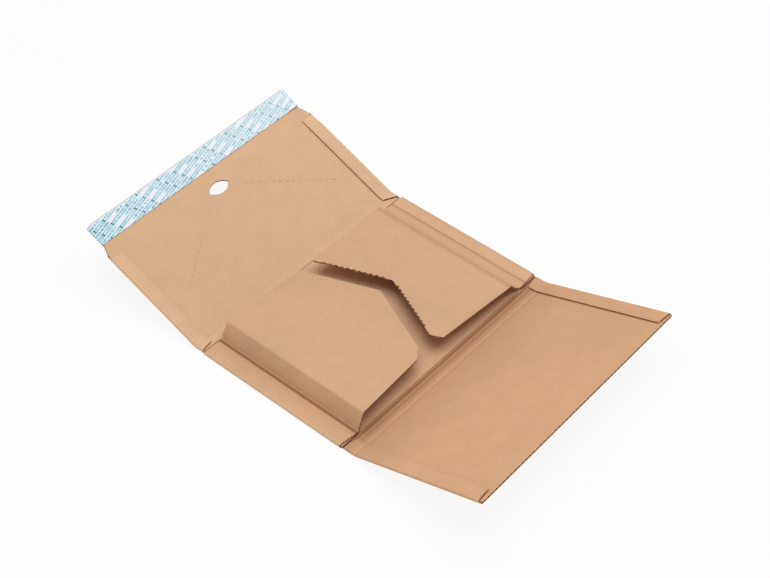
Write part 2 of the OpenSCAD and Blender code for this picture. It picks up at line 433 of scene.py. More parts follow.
@dataclass(frozen=True)
class Bend:
    """Places an outer panel: a flat spine beside the base, then the panel, turned up about its bend.

    Attributes:
        side: end of the base.
        spine: width of the spine.
        tilt: slope of the panel.
        sag: how far it sags in the middle, and how much more at its near side.
        sag_len: distance past the bend at which it sags so far.
        radius: radius of the bend's inner face.
    """

    side: Side
    spine: float
    tilt: float
    sag: Range = (0.0, 0.0)
    sag_len: float = 180.0
    radius: float = 22.0

    @property
    def tangent(self) -> float:
        """Length of the bend on each side of its corner."""
        return self.radius * tan(self.tilt / 2)

    def knots(self, count: int = 7) -> Array:
        """Distances from the fold at which a grid follows the bend."""
        return np.linspace(self.spine - self.tangent, self.spine + self.tangent, count)

    def __call__(self, along: Array, across: Array, up: Array) -> Array:
        """Place of points of the flat blank.

        Up to the bend a point lies flat. In the bend it turns on a circle about a centre above the
        sheet, and past it the point lies on the plane that the circle leaves, less a sag that grows
        with the square of the distance and is larger on the near side.

        Args:
            along: distance from the fold beside the base.
            across: distance from the middle, along Y.
            up: height over the inner face.

        Returns:
            Points, with a last axis of 3.
        """
        cos, sin = unit(self.tilt)
        first = self.spine - self.tangent
        turn = np.clip((along - first) / (2 * self.tangent), 0, 1) * math.radians(self.tilt)
        before = np.minimum(along - first, 0)
        past = np.maximum(along - self.spine - self.tangent, 0)
        x = first + before + (self.radius - up) * np.sin(turn) + past * cos
        drop = (past / self.sag_len) ** 2 * (self.sag[0] - self.sag[1] * across / BLANK.half_w)
        z = self.radius - (self.radius - up) * np.cos(turn) + past * sin - drop
        return np.stack([self.side.value * (BLANK.half_len + x), across + 0 * x, STOCK.thick + z], -1)


@dataclass
class BoardRun:
    """A stretch of corrugated board on a fold line, cut to length along its flutes.

    Attributes:
        line: mid-line of the cross-section.
        start: where the board starts along the flutes, as a function of the arc length.
        end: where it ends.
        place: puts the points into space.
        knots: distances along the flutes that each row of the grid has, between its start and end.
        spread: number of even steps from the last knot to the end.
        offset: blank coordinate across the flutes at the start of the line.
        half: long side that it lies on, where the near one mirrors it.
        cuts: how far the start and the end are die-cut edges, which are pressed thinner, from 0 to 1.
        press_left: depth that creases press into the liner on the line's left.
        press_right: depth on the other side.
        rows: arc lengths of the grid's rows, where the line's own stations don't serve.
        rim: material slot of its cut edges.
    """

    line: FoldLine
    start: Limit
    end: Limit
    place: Place = straight
    knots: Sequence[float] = ()
    spread: int = FLAP_STEPS
    offset: float = 0.0
    half: Half = Half.FAR
    cuts: tuple[Limit, Limit] = (const(1), const(1))
    press_left: Relief = level
    press_right: Relief = level
    rows: Array | None = None
    rim: Layer = Layer.RAW

    def grid(self, arc: Array) -> Array:
        """Distances along the flutes of the grid's points.

        Columns lie close together at both ends. The knots and then even steps are between them. A row
        too short for the edge columns has them drawn together.

        Args:
            arc: arc lengths of the rows.

        Returns:
            Distances, shape (rows, columns).
        """
        start, end = self.start(arc)[:, None], self.end(arc)[:, None]
        edge = EDGE_COLUMNS * np.clip((end - start) / EDGE_ROOM, 0, 1)
        first, last = start + edge, end - edge[:, ::-1]
        count = len(self.knots)
        mid = np.maximum(self.knots, first[:, -1:] + KNOT_GAP * np.arange(1, count + 1))
        low = mid[:, -1:] if count else first[:, -1:]
        share = np.linspace(0, 1, self.spread + 1)[None, 1:-1]
        return np.concatenate([first, mid, low + (last[:, :1] - low) * share, last], 1)

    def surface(self, arc: Array, along: Array, height: Array) -> Array:
        """Points at a height over the mid-line: the mid-line's point plus the height along its normal.

        Args:
            arc: arc lengths of the rows.
            along: distances along the flutes, shape (rows, columns).
            height: heights, the same shape.

        Returns:
            Points, shape (rows, columns, 3).
        """
        point, normal = self.line.at(arc)
        spot = point[:, None, :] + height[..., None] * normal[:, None, :]
        return self.place(along, self.half.value * spot[..., 0], spot[..., 1])

    def pressed(self, arc: Array, along: Array) -> tuple[Array, Array, Array]:
        """Depths pressed into the liners: bell curves at the cut ends, plus the creases.

        Args:
            arc: arc lengths of the rows.
            along: distances along the flutes, shape (rows, columns).

        Returns:
            Depths on the left and on the right, and those of the cut ends alone.
        """
        ends = np.zeros_like(along)
        for cut, away in zip(self.cuts, (along - along[:, :1], along[:, -1:] - along)):
            ends = ends + STOCK.cut_depth * cut(arc)[:, None] * bell(away, STOCK.cut_width)
        across = np.broadcast_to(arc[:, None] + self.offset, along.shape)
        creases = (press(along, across) for press in (self.press_left, self.press_right))
        left, right = (np.minimum(ends + crease, STOCK.press_most) for crease in creases)
        return left, right, ends

    def blank(self, arc: Array, along: Array) -> Array:
        """Blank coordinates of a grid, shape (rows, columns, 2)."""
        across = np.broadcast_to(self.half.value * (arc[:, None] + self.offset), along.shape)
        return np.stack([along, across], -1)

    def lay(self, piece: PieceMesh) -> None:
        """Adds the two liners and the medium of this stretch.

        A liner is the slab between two parallel surfaces. The medium is the slab round a sine wave of
        the arc length, held between the liners, so its flutes run along the board. It is thicker at
        die-cut ends, where the knife crushes it.

        Args:
            piece: the mesh that takes the slabs.
        """
        arc = self.line.stations() if self.rows is None else self.rows
        along = self.grid(arc)
        left, right, _ = self.pressed(arc, along)
        for sign, press, layer in ((1, left, Layer.INNER), (-1, right, Layer.OUTER)):
            depths = (STOCK.half - press, STOCK.half - STOCK.liner - press)
            faces = (self.surface(arc, along, sign * depth) for depth in depths)
            piece.slab(*faces, self.blank(arc, along), (layer, Layer.FLUTE, self.rim))
        fine = np.union1d(np.arange(arc[0], arc[-1], STOCK.pitch / STOCK.wave_rows), arc)
        fine = fine[np.concatenate([[True], np.diff(fine) > STOCK.row_gap])]
        along = self.grid(fine)
        left, right, ends = self.pressed(fine, along)
        wave = STOCK.rise * np.sin(2 * math.pi * (fine + self.offset) / STOCK.pitch)[:, None]
        wave = np.clip(wave, right - STOCK.rise, STOCK.rise - left)
        half, room = STOCK.medium / 2 + STOCK.cut_swell * ends, STOCK.half - STOCK.liner + STOCK.sunk
        heights = (np.minimum(wave + half, room - left), np.maximum(wave - half, right - room))
        faces = (self.surface(fine, along, height) for height in heights)
        piece.slab(*faces, self.blank(fine, along), (Layer.FLUTE, Layer.FLUTE, self.rim))


def round_corners(points: Array, radii: list[float], steps: int = 8) -> Array:
    """Outline with its corners rounded.

    Each corner becomes the arc that touches both of its sides: its centre lies on the bisector, at the
    radius over the sine of the half angle.

    Args:
        points: corners in order, shape (n, 2).
        radii: one radius a corner, where 0 leaves it sharp.
        steps: points on an arc, less one.

    Returns:
        The outline's points, in the same order.
    """
    chain = []
    for before, corner, after, radius in zip(np.roll(points, 1, 0), points, np.roll(points, -1, 0), radii):
        if radius == 0:
            chain.append(corner[None])
            continue
        u, v = ((end - corner) / np.linalg.norm(end - corner) for end in (before, after))
        half = math.acos(float(u @ v)) / 2
        centre = corner + (u + v) / np.linalg.norm(u + v) * radius / math.sin(half)
        touch = (corner + way * radius / math.tan(half) - centre for way in (u, v))
        first, last = (math.atan2(y, x) for x, y in touch)
        turn = (last - first + math.pi) % (2 * math.pi) - math.pi
        angle = first + turn * np.linspace(0, 1, steps + 1)
        chain.append(centre + radius * np.stack([np.cos(angle), np.sin(angle)], -1))
    return np.concatenate(chain)


def linear(colour: Colour) -> Vector:
    """Linear colour of a display colour given in steps of 255."""
    shares = (step / 255 for step in colour)
    return tuple(c / 12.92 if c <= 0.04045 else ((c + 0.055) / 1.055) ** 2.4 for c in shares)


@dataclass(frozen=True)
class Grain:
    """A noise on the object coordinates, carried smoothly from one range to another.

    Attributes:
        spread: features a metre along X, Y and Z.
        detail: number of finer octaves.
        turn: turn of the pattern about Z.
        source: range of the noise that counts.
        target: what that range becomes.
    """

    spread: Vector
    detail: float = 2.0
    turn: float = 0.0
    source: Range = (0.3, 0.7)
    target: Range = (0.0, 1.0)


class NodeKit:
    """Adds shader nodes to one new material or world and joins them."""

    def __init__(self, owner: bpy.types.Material | bpy.types.World, output: str) -> None:
        """Clears the owner's nodes and adds its output.

        Args:
            owner: the material or world.
            output: type name of its output node.
        """
        owner.use_nodes = True
        self.owner, self.tree = owner, owner.node_tree
        self.tree.nodes.clear()
        self.output = self.tree.nodes.new(output)

    @classmethod
    def paint(cls, name: str) -> "NodeKit":
        """Kit of a new material."""
        return cls(bpy.data.materials.new(name), "ShaderNodeOutputMaterial")

    def node(self, kind: str, inputs: dict[str | int, object], **settings: str) -> bpy.types.Node:
        """Adds a node.

        Args:
            kind: the node's type name.
            inputs: values or sockets by input name or number.
            settings: the node's own properties.

        Returns:
            The node.
        """
        made = self.tree.nodes.new(kind)
        for key, value in settings.items():
            setattr(made, key, value)
        for key, value in inputs.items():
            if isinstance(value, Socket):
                self.tree.links.new(value, made.inputs[key])
            else:
                made.inputs[key].default_value = value
        return made

    def blank(self) -> dict[Way, Socket]:
        """Coordinates along and across the flutes on the flat blank, in UV units."""
        spot = self.node("ShaderNodeUVMap", {}, uv_map="blank").outputs[0]
        split = self.node("ShaderNodeSeparateXYZ", {0: spot})
        return {way: split.outputs[way.value] for way in Way}

    def math(self, kind: str, a: Feed, b: Feed = 0.0) -> Socket:
        """Result of a math node on two values or sockets."""
        return self.node("ShaderNodeMath", {0: a, 1: b}, operation=kind).outputs[0]

    def add(self, *terms: Feed) -> Socket:
        """Sum of values or sockets."""
        return reduce(partial(self.math, "ADD"), terms)

    def times(self, *terms: Feed) -> Socket:
        """Product of values or sockets."""
        return reduce(partial(self.math, "MULTIPLY"), terms)

    def away(self, value: Feed, at: float) -> Socket:
        """Distance of a value from a place."""
        return self.math("ABSOLUTE", self.math("SUBTRACT", value, at))

    def between(self, value: Feed, low: float, high: float) -> Socket:
        """1 where a value lies between two others, else 0."""
        return self.times(self.math("GREATER_THAN", value, low), self.math("LESS_THAN", value, high))

    def fit(self, value: Feed, source: Range, target: Range) -> Socket:
        """Value carried smoothly from one range to another and held at its ends."""
        inputs = dict(enumerate((value, *source, *target)))
        return self.node("ShaderNodeMapRange", inputs, interpolation_type="SMOOTHSTEP").outputs[0]

    def above(self, value: Feed, low: float, high: float) -> Socket:
        """0 below a range and 1 above it, with a smooth step."""
        return self.fit(value, (low, high), (0.0, 1.0))

    def below(self, value: Feed, low: float, high: float) -> Socket:
        """1 below a range and 0 above it, with a smooth step."""
        return self.fit(value, (low, high), (1.0, 0.0))

    def noise(self, grain: Grain) -> Socket:
        """The grain's plain noise.

        Args:
            grain: the noise.

        Returns:
            Socket of the noise, about 0 to 1.
        """
        place = self.node("ShaderNodeTexCoord", {}).outputs["Object"]
        turn = (0.0, 0.0, math.radians(grain.turn))
        inputs = {"Vector": place, "Scale": grain.spread, "Rotation": turn}
        spot = self.node("ShaderNodeMapping", inputs).outputs[0]
        inputs = {"Vector": spot, "Scale": 1.0, "Detail": grain.detail}
        return self.node("ShaderNodeTexNoise", inputs).outputs[0]

    def grain(self, grain: Grain) -> Socket:
        """The grain's noise in its target range."""
        return self.fit(self.noise(grain), grain.source, grain.target)

    def flutes(self, across: Socket) -> Socket:
        """Sine of the distance across the flutes, one wave a flute."""
        return self.math("SINE", self.times(across, 2 * math.pi / (STOCK.pitch * UV_UNIT)))

    def mix(self, share: Feed, a: Tint, b: Tint) -> Socket:
        """Colour between two display colours or sockets."""
        a, b = (tint if isinstance(tint, Socket) else (*linear(tint), 1.0) for tint in (a, b))
        return self.node("ShaderNodeMix", {0: share, 6: a, 7: b}, data_type="RGBA").outputs[2]

    def scaled(self, colour: Colour, gain: Socket) -> Socket:
        """Display colour times a factor."""
        inputs = {0: linear(colour), "Scale": gain}
        return self.node("ShaderNodeVectorMath", inputs, operation="SCALE").outputs[0]

    def show(self, shader: bpy.types.Node) -> None:
        """Joins a shader to the output."""
        self.tree.links.new(shader.outputs[0], self.output.inputs[0])

    def dress(
        self, colour: Socket, rough: Feed, height: Socket, depth: float, gloss: float,
    ) -> bpy.types.Material:
        """Joins colour, roughness and bump to a principled shader.

        Args:
            colour: colour socket.
            rough: roughness, a value or a socket.
            height: socket of the bump's height, from 0 to 1.
            depth: height that 1 stands for, in metres.
            gloss: specular level.

        Returns:
            The material.
        """
        bump = self.node("ShaderNodeBump", {"Height": height, "Distance": depth, "Strength": 1.0}).outputs[0]
        inputs = {"Base Color": colour, "Roughness": rough, "Specular IOR Level": gloss, "Normal": bump}
        self.show(self.node("ShaderNodeBsdfPrincipled", inputs))
        return self.owner

    def backdrop(self, lit: bpy.types.Node, white: bpy.types.Node, share: float) -> None:
        """Shows a lit shader to the object, and a white one to the rays that see the background.

        Args:
            lit: shader that lights the object.
            white: shader that the camera sees.
            share: share of the white one there.
        """
        path = self.node("ShaderNodeLightPath", {})
        rays = (path.outputs[name] for name in ("Is Camera Ray", "Is Glossy Ray", "Is Transmission Ray"))
        seen = self.times(reduce(partial(self.math, "MAXIMUM"), rays), share)
        self.show(self.node("ShaderNodeMixShader", {0: seen, 1: lit.outputs[0], 2: white.outputs[0]}))


@dataclass(frozen=True)
class Band:
    """A soft line on the flat blank that is lighter or darker than the board: mostly painted shade and light.

    Attributes:
        way: the blank coordinate it is measured in.
        at: its middle.
        half: half of its width.
        gain: change of tone in its middle, where 0 leaves the board as it is.
        window: range of the other coordinate in which it shows, or None for all of it.
        soft: half of the width in which it fades at the window's ends.
    """

    way: Way
    at: float
    half: float
    gain: float
    window: Range | None = None
    soft: float = 4.0

    @classmethod
    def lines(cls, way: Way, *rows: tuple) -> tuple["Band", ...]:
        """Bands of one way, each from its middle, half width, gain and, if it has one, window."""
        return tuple(cls(way, *row) for row in rows)

    def tone(self, kit: NodeKit, blank: dict[Way, Socket]) -> Socket:
        """Change of tone: a bump of the band's width, cut off softly outside its window.

        Args:
            kit: nodes of the material.
            blank: blank coordinates by their way.

        Returns:
            Socket of the change.
        """
        away = kit.away(blank[self.way], self.at * UV_UNIT)
        part = kit.fit(away, (0.0, self.half * UV_UNIT), (self.gain, 0.0))
        if self.window is None:
            return part
        other = blank[Way.ACROSS if self.way is Way.ALONG else Way.ALONG]
        low, high, soft = (v * UV_UNIT for v in (*self.window, self.soft))
        part = kit.times(part, kit.above(other, low - soft, low + soft))
        return kit.times(part, kit.below(other, high - soft, high + soft))


# Lines of the base: four of painted shade at the near strip's foot, under the wall; painted shade in the far
# strip's score and a shade past it; the paler far strip; and painted light on the shaded side of the near
# rounded edge.
BASE_LINES = Band.lines(
    Way.ACROSS, (-187.4, 4.2, -0.15), (-189.2, 2.4, -0.2), (-187.2, 2.6, -0.32), (-184.5, 16.0, -0.08),
    (181.5, 2.2, -0.3), (185.2, 2.0, -0.04), (173.0, 11.0, 0.06), (-163.6, 3.4, 0.2),
)
# Lines of the closing flap: painted shade in the near part of its bend, a painted shadow along the paper's
# inner edge, two lines of painted shade on the middle of the spine beside the inner flaps' ends, and the
# shade beside the far hem.
CLOSING_LINES = Band.lines(
    Way.ALONG, (13.4, 1.8, -0.09, (-170.0, -108.0)), (166.9, 0.9, -0.2),
    (6.2, 2.8, -0.26, (-60.0, 60.0)), (1.2, 2.2, -0.2, (-60.0, 60.0)),
) + Band.lines(Way.ACROSS, (144.4, 2.8, -0.05, (18.0, 146.0)))
# Lines of the cover: at its bend and beside its score a lighter and a darker line, painted highlight on the
# ridge and painted shade in the dip, where the bend's fibre is also paler from stretching; painted shade
# towards the base; and painted shade beside the far hem.
COVER_LINES = Band.lines(
    Way.ALONG, (15.2, 2.4, 0.08), (19.0, 2.8, -0.08), (6.0, 1.6, 0.07), (8.4, 1.6, -0.06),
    (1.8, 3.4, -0.2), (3.0, 17.0, -0.3), (12.0, 85.0, -0.075),
) + Band.lines(Way.ACROSS, (143.4, 3.6, -0.1, (10.0, 176.0)))
# The bend's painted highlight and shade and the painted shade towards the base, on the cover's near hem, and
# a wide painted shade on the whole of its other face.
COVER_HEM = (-190.0, -160.0)
COVER_BACK_LINES = Band.lines(
    Way.ALONG, (15.2, 2.4, 0.09, COVER_HEM), (19.0, 2.8, -0.07, COVER_HEM), (3.0, 17.0, -0.14, COVER_HEM),
    (12.0, 85.0, -0.075),
)
# Painted shade of the slits at both ends of the creases beside the base: dark lines where their gaps are.
SLIT_SHADE_LINES = Band.lines(Way.ALONG, (0.0, 2.2, -0.5, (-170.0, -138.0)), (0.0, 2.2, -0.5, (138.0, 170.0)))


@dataclass(frozen=True)
class TearLine:
    """Row of short cuts on the closing flap, from beside the hole, on the flat blank.

    Attributes:
        near: end beside the hole.
        far: other end.
        count: number of cuts.
        cut: length of a cut.
        core: half of the width in which a cut is darkest.
        half: half of its whole width.
        tone: display colour of the cuts.
        wear: how strong they are from place to place.
        fade: how strong they are on the near and on the far side.
    """

    near: Range = (130.7, 26.0)
    far: Range = (66.2, 122.0)
    count: int = 14
    cut: float = 5.0
    core: float = 0.15
    half: float = 0.6
    tone: Colour = (132, 94, 66)
    wear: Grain = Grain((26, 26, 26), source=(0.4, 0.62), target=(0.25, 0.75))
    fade: Range = (0.55, 1.0)

    def mark(self, kit: NodeKit, colour: Socket, blank: dict[Way, Socket]) -> Socket:
        """Colour with the two mirrored rows of short dark cuts.

        The distance across the line is the blank point's offset along the line's normal. The cuts
        repeat along it, between its two ends.

        Args:
            kit: nodes of the material.
            colour: colour of the board.
            blank: blank coordinates by their way.

        Returns:
            Colour socket.
        """
        run = np.subtract(self.far, self.near) * UV_UNIT
        length = float(np.linalg.norm(run))
        ux, uy = (run / length).tolist()
        across = blank[Way.ACROSS]
        x = kit.math("SUBTRACT", blank[Way.ALONG], self.near[0] * UV_UNIT)
        y = kit.math("SUBTRACT", kit.math("ABSOLUTE", across), self.near[1] * UV_UNIT)
        place = kit.add(kit.times(x, ux), kit.times(y, uy))
        away = kit.math("ABSOLUTE", kit.add(kit.times(x, -uy), kit.times(y, ux)))
        step = length / self.count
        cycle = kit.away(kit.math("FRACT", kit.math("DIVIDE", place, step)), 0.5)
        cut = self.cut * UV_UNIT / step / 2
        dash = kit.below(cycle, cut * 0.85, cut * 1.1)
        thin = kit.below(away, self.core * UV_UNIT, self.half * UV_UNIT)
        worn = kit.times(kit.grain(self.wear), kit.fit(across, (-0.3, 0.3), self.fade))
        return kit.mix(kit.times(dash, kit.between(place, 0.0, length), thin, worn), colour, self.tone)


@dataclass(frozen=True)
class KraftFace:
    """Printed-side finish of the brown liner: fibres, flecks, cloudy tone and faint lines of painted shade
    over the flutes.

    Attributes:
        name: name of the material.
        tone: display colour of the paper.
        bands: lighter and darker lines of the creases, edges and hems, mostly painted shade and light.
        tears: whether the two dashed tear lines show.
        clouds: changes of tone from place to place.
        flute_shade: change of tone from flute to flute, painted shade of the washboard over the flutes.
        fibres: dark and pale fibres, with their display colours.
        tooth: noise of the bump.
        rough: roughness from place to place.
        warmth: how much a band changes red, green and blue, so that painted shade is warmer.
    """

    name: str
    tone: Colour = (212, 170, 134)
    bands: tuple[Band, ...] = ()
    tears: bool = False
    clouds: tuple[Grain, ...] = (
        Grain((7, 7, 7), target=(-0.028, 0.028)),
        Grain((60, 42, 60), 3, target=(-0.022, 0.022)),
        Grain((420, 900, 600), turn=20, target=(-0.036, 0.036)),
    )
    flute_shade: float = 0.008
    fibres: tuple[tuple[Grain, Colour], ...] = (
        (Grain((300, 1500, 700), 1, -35, (0.68, 0.76), (0.0, 0.35)), (140, 98, 66)),
        (Grain((1300, 260, 700), 1, 25, (0.69, 0.77), (0.0, 0.3)), (236, 204, 170)),
    )
    tooth: Grain = Grain((700, 1100, 900), 3)
    rough: Grain = Grain((90, 70, 90), target=(0.78, 0.9))
    warmth: Vector = (1.0, 1.22, 1.42)

    def material(self) -> bpy.types.Material:
        """Builds the material.

        Tone is the paper's colour times one plus a sum of centred noises and lines of painted shade over the
        flutes. Dark and pale fibres are thresholded noises stretched along and across the sheet. The bands of
        painted shade and light, and the tear lines, come over them.
        """
        kit = NodeKit.paint(self.name)
        blank = kit.blank()
        flute = kit.flutes(blank[Way.ACROSS])
        clouds = (kit.grain(cloud) for cloud in self.clouds)
        # The flute term is painted shade of the washboard over the flutes.
        colour = kit.scaled(self.tone, kit.add(*clouds, kit.times(flute, self.flute_shade), 1.0))
        for grain, tone in self.fibres:
            colour = kit.mix(kit.grain(grain), colour, tone)
        # Bands of painted shade and light over the creases, edges and hems.
        if self.bands:
            colour = self.creases(kit, colour, blank)
        if self.tears:
            colour = TearLine().mark(kit, colour, blank)
        height = kit.add(kit.times(kit.noise(self.tooth), 0.5), kit.times(flute, 0.25))
        return kit.dress(colour, kit.grain(self.rough), height, 0.00006, 0.25)

    def creases(self, kit: NodeKit, colour: Socket, blank: dict[Way, Socket]) -> Socket:
        """Colour with the bands of painted shade and light.

        Their sum changes green and blue more than red, so that darker painted shade is also warmer, like
        light bounced between two brown faces.

        Args:
            kit: nodes of the material.
            colour: colour of the board.
            blank: blank coordinates by their way.

        Returns:
            Colour socket.
        """
        total = kit.add(*(band.tone(kit, blank) for band in self.bands))
        inputs = {0: total, 1: self.warmth, 2: (1.0, 1.0, 1.0)}
        share = kit.node("ShaderNodeVectorMath", inputs, operation="MULTIPLY_ADD").outputs[0]
        return kit.node("ShaderNodeVectorMath", {0: colour, 1: share}, operation="MULTIPLY").outputs[0]


@dataclass(frozen=True)
class RawBoard:
    """Cut edges and insides: bare fibre with broken streaks along the flutes.

    Attributes:
        name: name of the material.
        tone: display colour of the fibre.
        torn: display colour of torn fibres.
        hollow_shade: change of tone from flute to flute, painted shade of the open flutes' hollows along a
            cut edge.
        cloud: change of tone from place to place.
        streaks: where the torn fibres are.
        tooth: noise of the bump.
    """

    name: str
    tone: Colour
    torn: Colour
    hollow_shade: float = 0.0
    cloud: Grain = Grain((500, 900, 900), 3, target=(-0.16, 0.16))
    streaks: Grain = Grain((900, 1600, 1600), 2, 15, (0.6, 0.74), (0.0, 0.5))
    tooth: Grain = Grain((900, 1400, 1400), 3)

    def material(self) -> bpy.types.Material:
        """Builds the material: the tone times a fine noise and a sine of the distance across the flutes,
        which paints the shade of the open flutes' hollows, with torn fibres of another tone."""
        kit = NodeKit.paint(self.name)
        gain = kit.add(kit.grain(self.cloud), 1.0)
        # Painted shade of the open flutes' hollows: a sine across the flutes.
        if self.hollow_shade:
            gain = kit.add(gain, kit.times(kit.flutes(kit.blank()[Way.ACROSS]), self.hollow_shade))
        colour = kit.mix(kit.grain(self.streaks), kit.scaled(self.tone, gain), self.torn)
        return kit.dress(colour, 0.9, kit.noise(self.tooth), 0.00012, 0.15)


@dataclass(frozen=True)
class Edges:
    """Finishes of cut liners, of the fluted medium between them and of the hems' cuts, which are darker as
    painted shade.
    """

    liner: bpy.types.Material
    flute: bpy.types.Material
    hem: bpy.types.Material

    @classmethod
    def make(cls) -> "Edges":
        """Builds the three finishes."""
        return cls(
            # The last number of this and of the hems' edges paints the shade of the open flutes' hollows.
            RawBoard("liner_edge", (176, 134, 98), (226, 190, 152), 0.55).material(),
            RawBoard("flute_paper", (150, 106, 72), (190, 146, 106)).material(),
            # The hems' cut edges are darker than the liners' as painted shade.
            RawBoard("hem_edge", (168, 118, 76), (194, 146, 104), 0.3).material(),
        )

    def skins(self, face: bpy.types.Material, back: bpy.types.Material) -> Materials:
        """Materials of a board without hems, in the order of its layers."""
        return [face, back, self.liner, self.flute]


@dataclass(frozen=True)
class PrintedPaper:
    """Release paper with slanted rows of plain marks: bordered rows by turns with pale ones.

    Attributes:
        name: name of the material.
        slant: slope of the rows.
        pitch: distance from row to row.
        repeat: length after which a row repeats.
        shift: how far each row is moved on, as a share of the repeat.
        mark: length of a small mark.
        stride: number of marks that each row's choice is moved on.
        end: where the paper ends, from the fold.
        margin: width of the bare margin there.
        paper: display colours of the bare paper.
        pale_inks: display colours of a pale row's ground and marks.
        block: start and end of a pale row's bare block, as shares of the repeat.
        block_tone: display colour of that block.
        bar_inks: display colours of a bordered row's ground and marks.
        border: display colour of its border lines.
        ticks: places of its ticks, as shares of the repeat.
        tick_tone: display colour of the ticks.
        rim: display colour of the paper's cut end.
        row_edge: where a row fades out, where 0.5 is half of the pitch from its middle.
        mark_edge: where the small marks fade out.
        border_edge: where the border lines start.
        tick_edge: where a tick fades out, as shares of the repeat.
        mark_pick: random values at which a mark starts to show and is full.
        wear: strength of the print on the near and on the far side.
    """

    name: str = "release_paper"
    slant: float = 15.0
    pitch: float = 4.9
    repeat: float = 48.0
    shift: float = 0.025
    mark: float = 1.25
    stride: float = 91.0
    end: float = 195.3
    margin: float = 1.4
    paper: tuple[Colour, Colour] = ((246, 252, 253), (238, 247, 250))
    pale_inks: tuple[Colour, Colour] = ((212, 238, 245), (118, 164, 196))
    block: Range = (0.42, 0.74)
    block_tone: Colour = (236, 234, 248)
    bar_inks: tuple[Colour, Colour] = ((206, 240, 244), (110, 184, 198))
    border: Colour = (64, 144, 156)
    ticks: Range = (0.03, 0.41)
    tick_tone: Colour = (30, 116, 122)
    rim: Colour = (150, 144, 140)
    row_edge: Range = (0.42, 0.46)
    mark_edge: Range = (0.22, 0.3)
    border_edge: Range = (0.28, 0.31)
    tick_edge: Range = (0.018, 0.024)
    mark_pick: Range = (0.25, 0.55)
    wear: Range = (1.0, 0.68)

    def material(self) -> bpy.types.Material:
        """Builds the material.

        The coordinate across the rows numbers them by its whole part. Along a row the pattern repeats,
        with dark ticks in the bordered rows and bare blocks in the pale ones. Between these, whole parts
        of a finer coordinate number small marks, and a random value for each sets how dark it is.
        """
        kit = NodeKit.paint(self.name)
        along, across = kit.blank().values()
        cos, sin = (unit(self.slant) / UV_UNIT).tolist()
        over = kit.math("SUBTRACT", kit.times(along, cos), kit.times(across, sin))
        run = kit.add(kit.times(across, cos), kit.times(along, sin))
        row = kit.math("DIVIDE", over, self.pitch)
        number = kit.math("FLOOR", row)
        part = kit.away(kit.math("FRACT", row), 0.5)
        phase = kit.add(kit.math("DIVIDE", run, self.repeat), kit.times(number, self.shift))
        phase = kit.math("FRACT", phase)
        cell = kit.add(kit.math("DIVIDE", run, self.mark), kit.times(number, self.stride))
        cell = kit.math("FLOOR", cell)
        pick = kit.node("ShaderNodeTexWhiteNoise", {"W": cell}, noise_dimensions="1D").outputs[0]
        marks = kit.times(kit.below(part, *self.mark_edge), kit.above(pick, *self.mark_pick))
        pale = kit.mix(kit.times(marks, 0.85), *self.pale_inks)
        pale = kit.mix(kit.between(phase, *self.block), pale, self.block_tone)
        bars = self.bordered(kit, part, phase, marks)
        print_tone = kit.mix(kit.math("FLOORED_MODULO", number, 2.0), bars, pale)
        out = kit.math("SUBTRACT", self.end * UV_UNIT, along)
        margin = kit.above(out, 0.8 * self.margin * UV_UNIT, 1.2 * self.margin * UV_UNIT)
        wear = kit.fit(across, (-1.6, 1.6), self.wear)
        paper = kit.mix(kit.grain(Grain((40, 40, 40), source=(0.35, 0.65))), *self.paper)
        colour = kit.mix(kit.times(kit.below(part, *self.row_edge), margin, wear), paper, print_tone)
        colour = kit.mix(kit.fit(out, (0.5 * UV_UNIT, 0.9 * UV_UNIT), (0.75, 0.0)), colour, self.rim)
        rough = kit.grain(Grain((120, 60, 90), target=(0.42, 0.55)))
        return kit.dress(colour, rough, kit.noise(Grain((60, 25, 60))), 0.0001, 0.4)

    def bordered(self, kit: NodeKit, part: Socket, phase: Socket, marks: Socket) -> Socket:
        """Colour of a bordered row: marks on a light ground, two border lines and two ticks a repeat.

        Args:
            kit: nodes of the material.
            part: distance from the row's middle, where 0.5 is its edge.
            phase: place in the repeat, from 0 to 1.
            marks: strength of the small marks.

        Returns:
            Colour socket.
        """
        colour = kit.mix(kit.times(marks, 0.5), *self.bar_inks)
        colour = kit.mix(kit.above(part, *self.border_edge), colour, self.border)
        for tick in self.ticks:
            colour = kit.mix(kit.below(kit.away(phase, tick), *self.tick_edge), colour, self.tick_tone)
        return colour


@dataclass(frozen=True)
class SealGlue:
    """Clear, tacky adhesive with small bubbles."""

    name: str = "seal_glue"
    film: Colour = (226, 214, 186)
    bubble: Colour = (240, 234, 214)

    def material(self) -> bpy.types.Material:
        """Builds the material: a pale warm film with bubbles in its bump and gloss."""
        kit = NodeKit.paint(self.name)
        bubbles = kit.noise(Grain((900, 900, 900)))
        colour = kit.mix(kit.above(bubbles, 0.4, 0.65), self.film, self.bubble)
        return kit.dress(colour, kit.fit(bubbles, (0.3, 0.7), (0.2, 0.4)), bubbles, 0.00015, 0.5)


def settle(piece: bpy.types.Object, body: str, node: str) -> None:
    """Puts a piece on its body, in place of a solid.

    Args:
        piece: the piece.
        body: body that it rides on.
        node: solid that it stands for.
    """
    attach(piece, body)
    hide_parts(node)


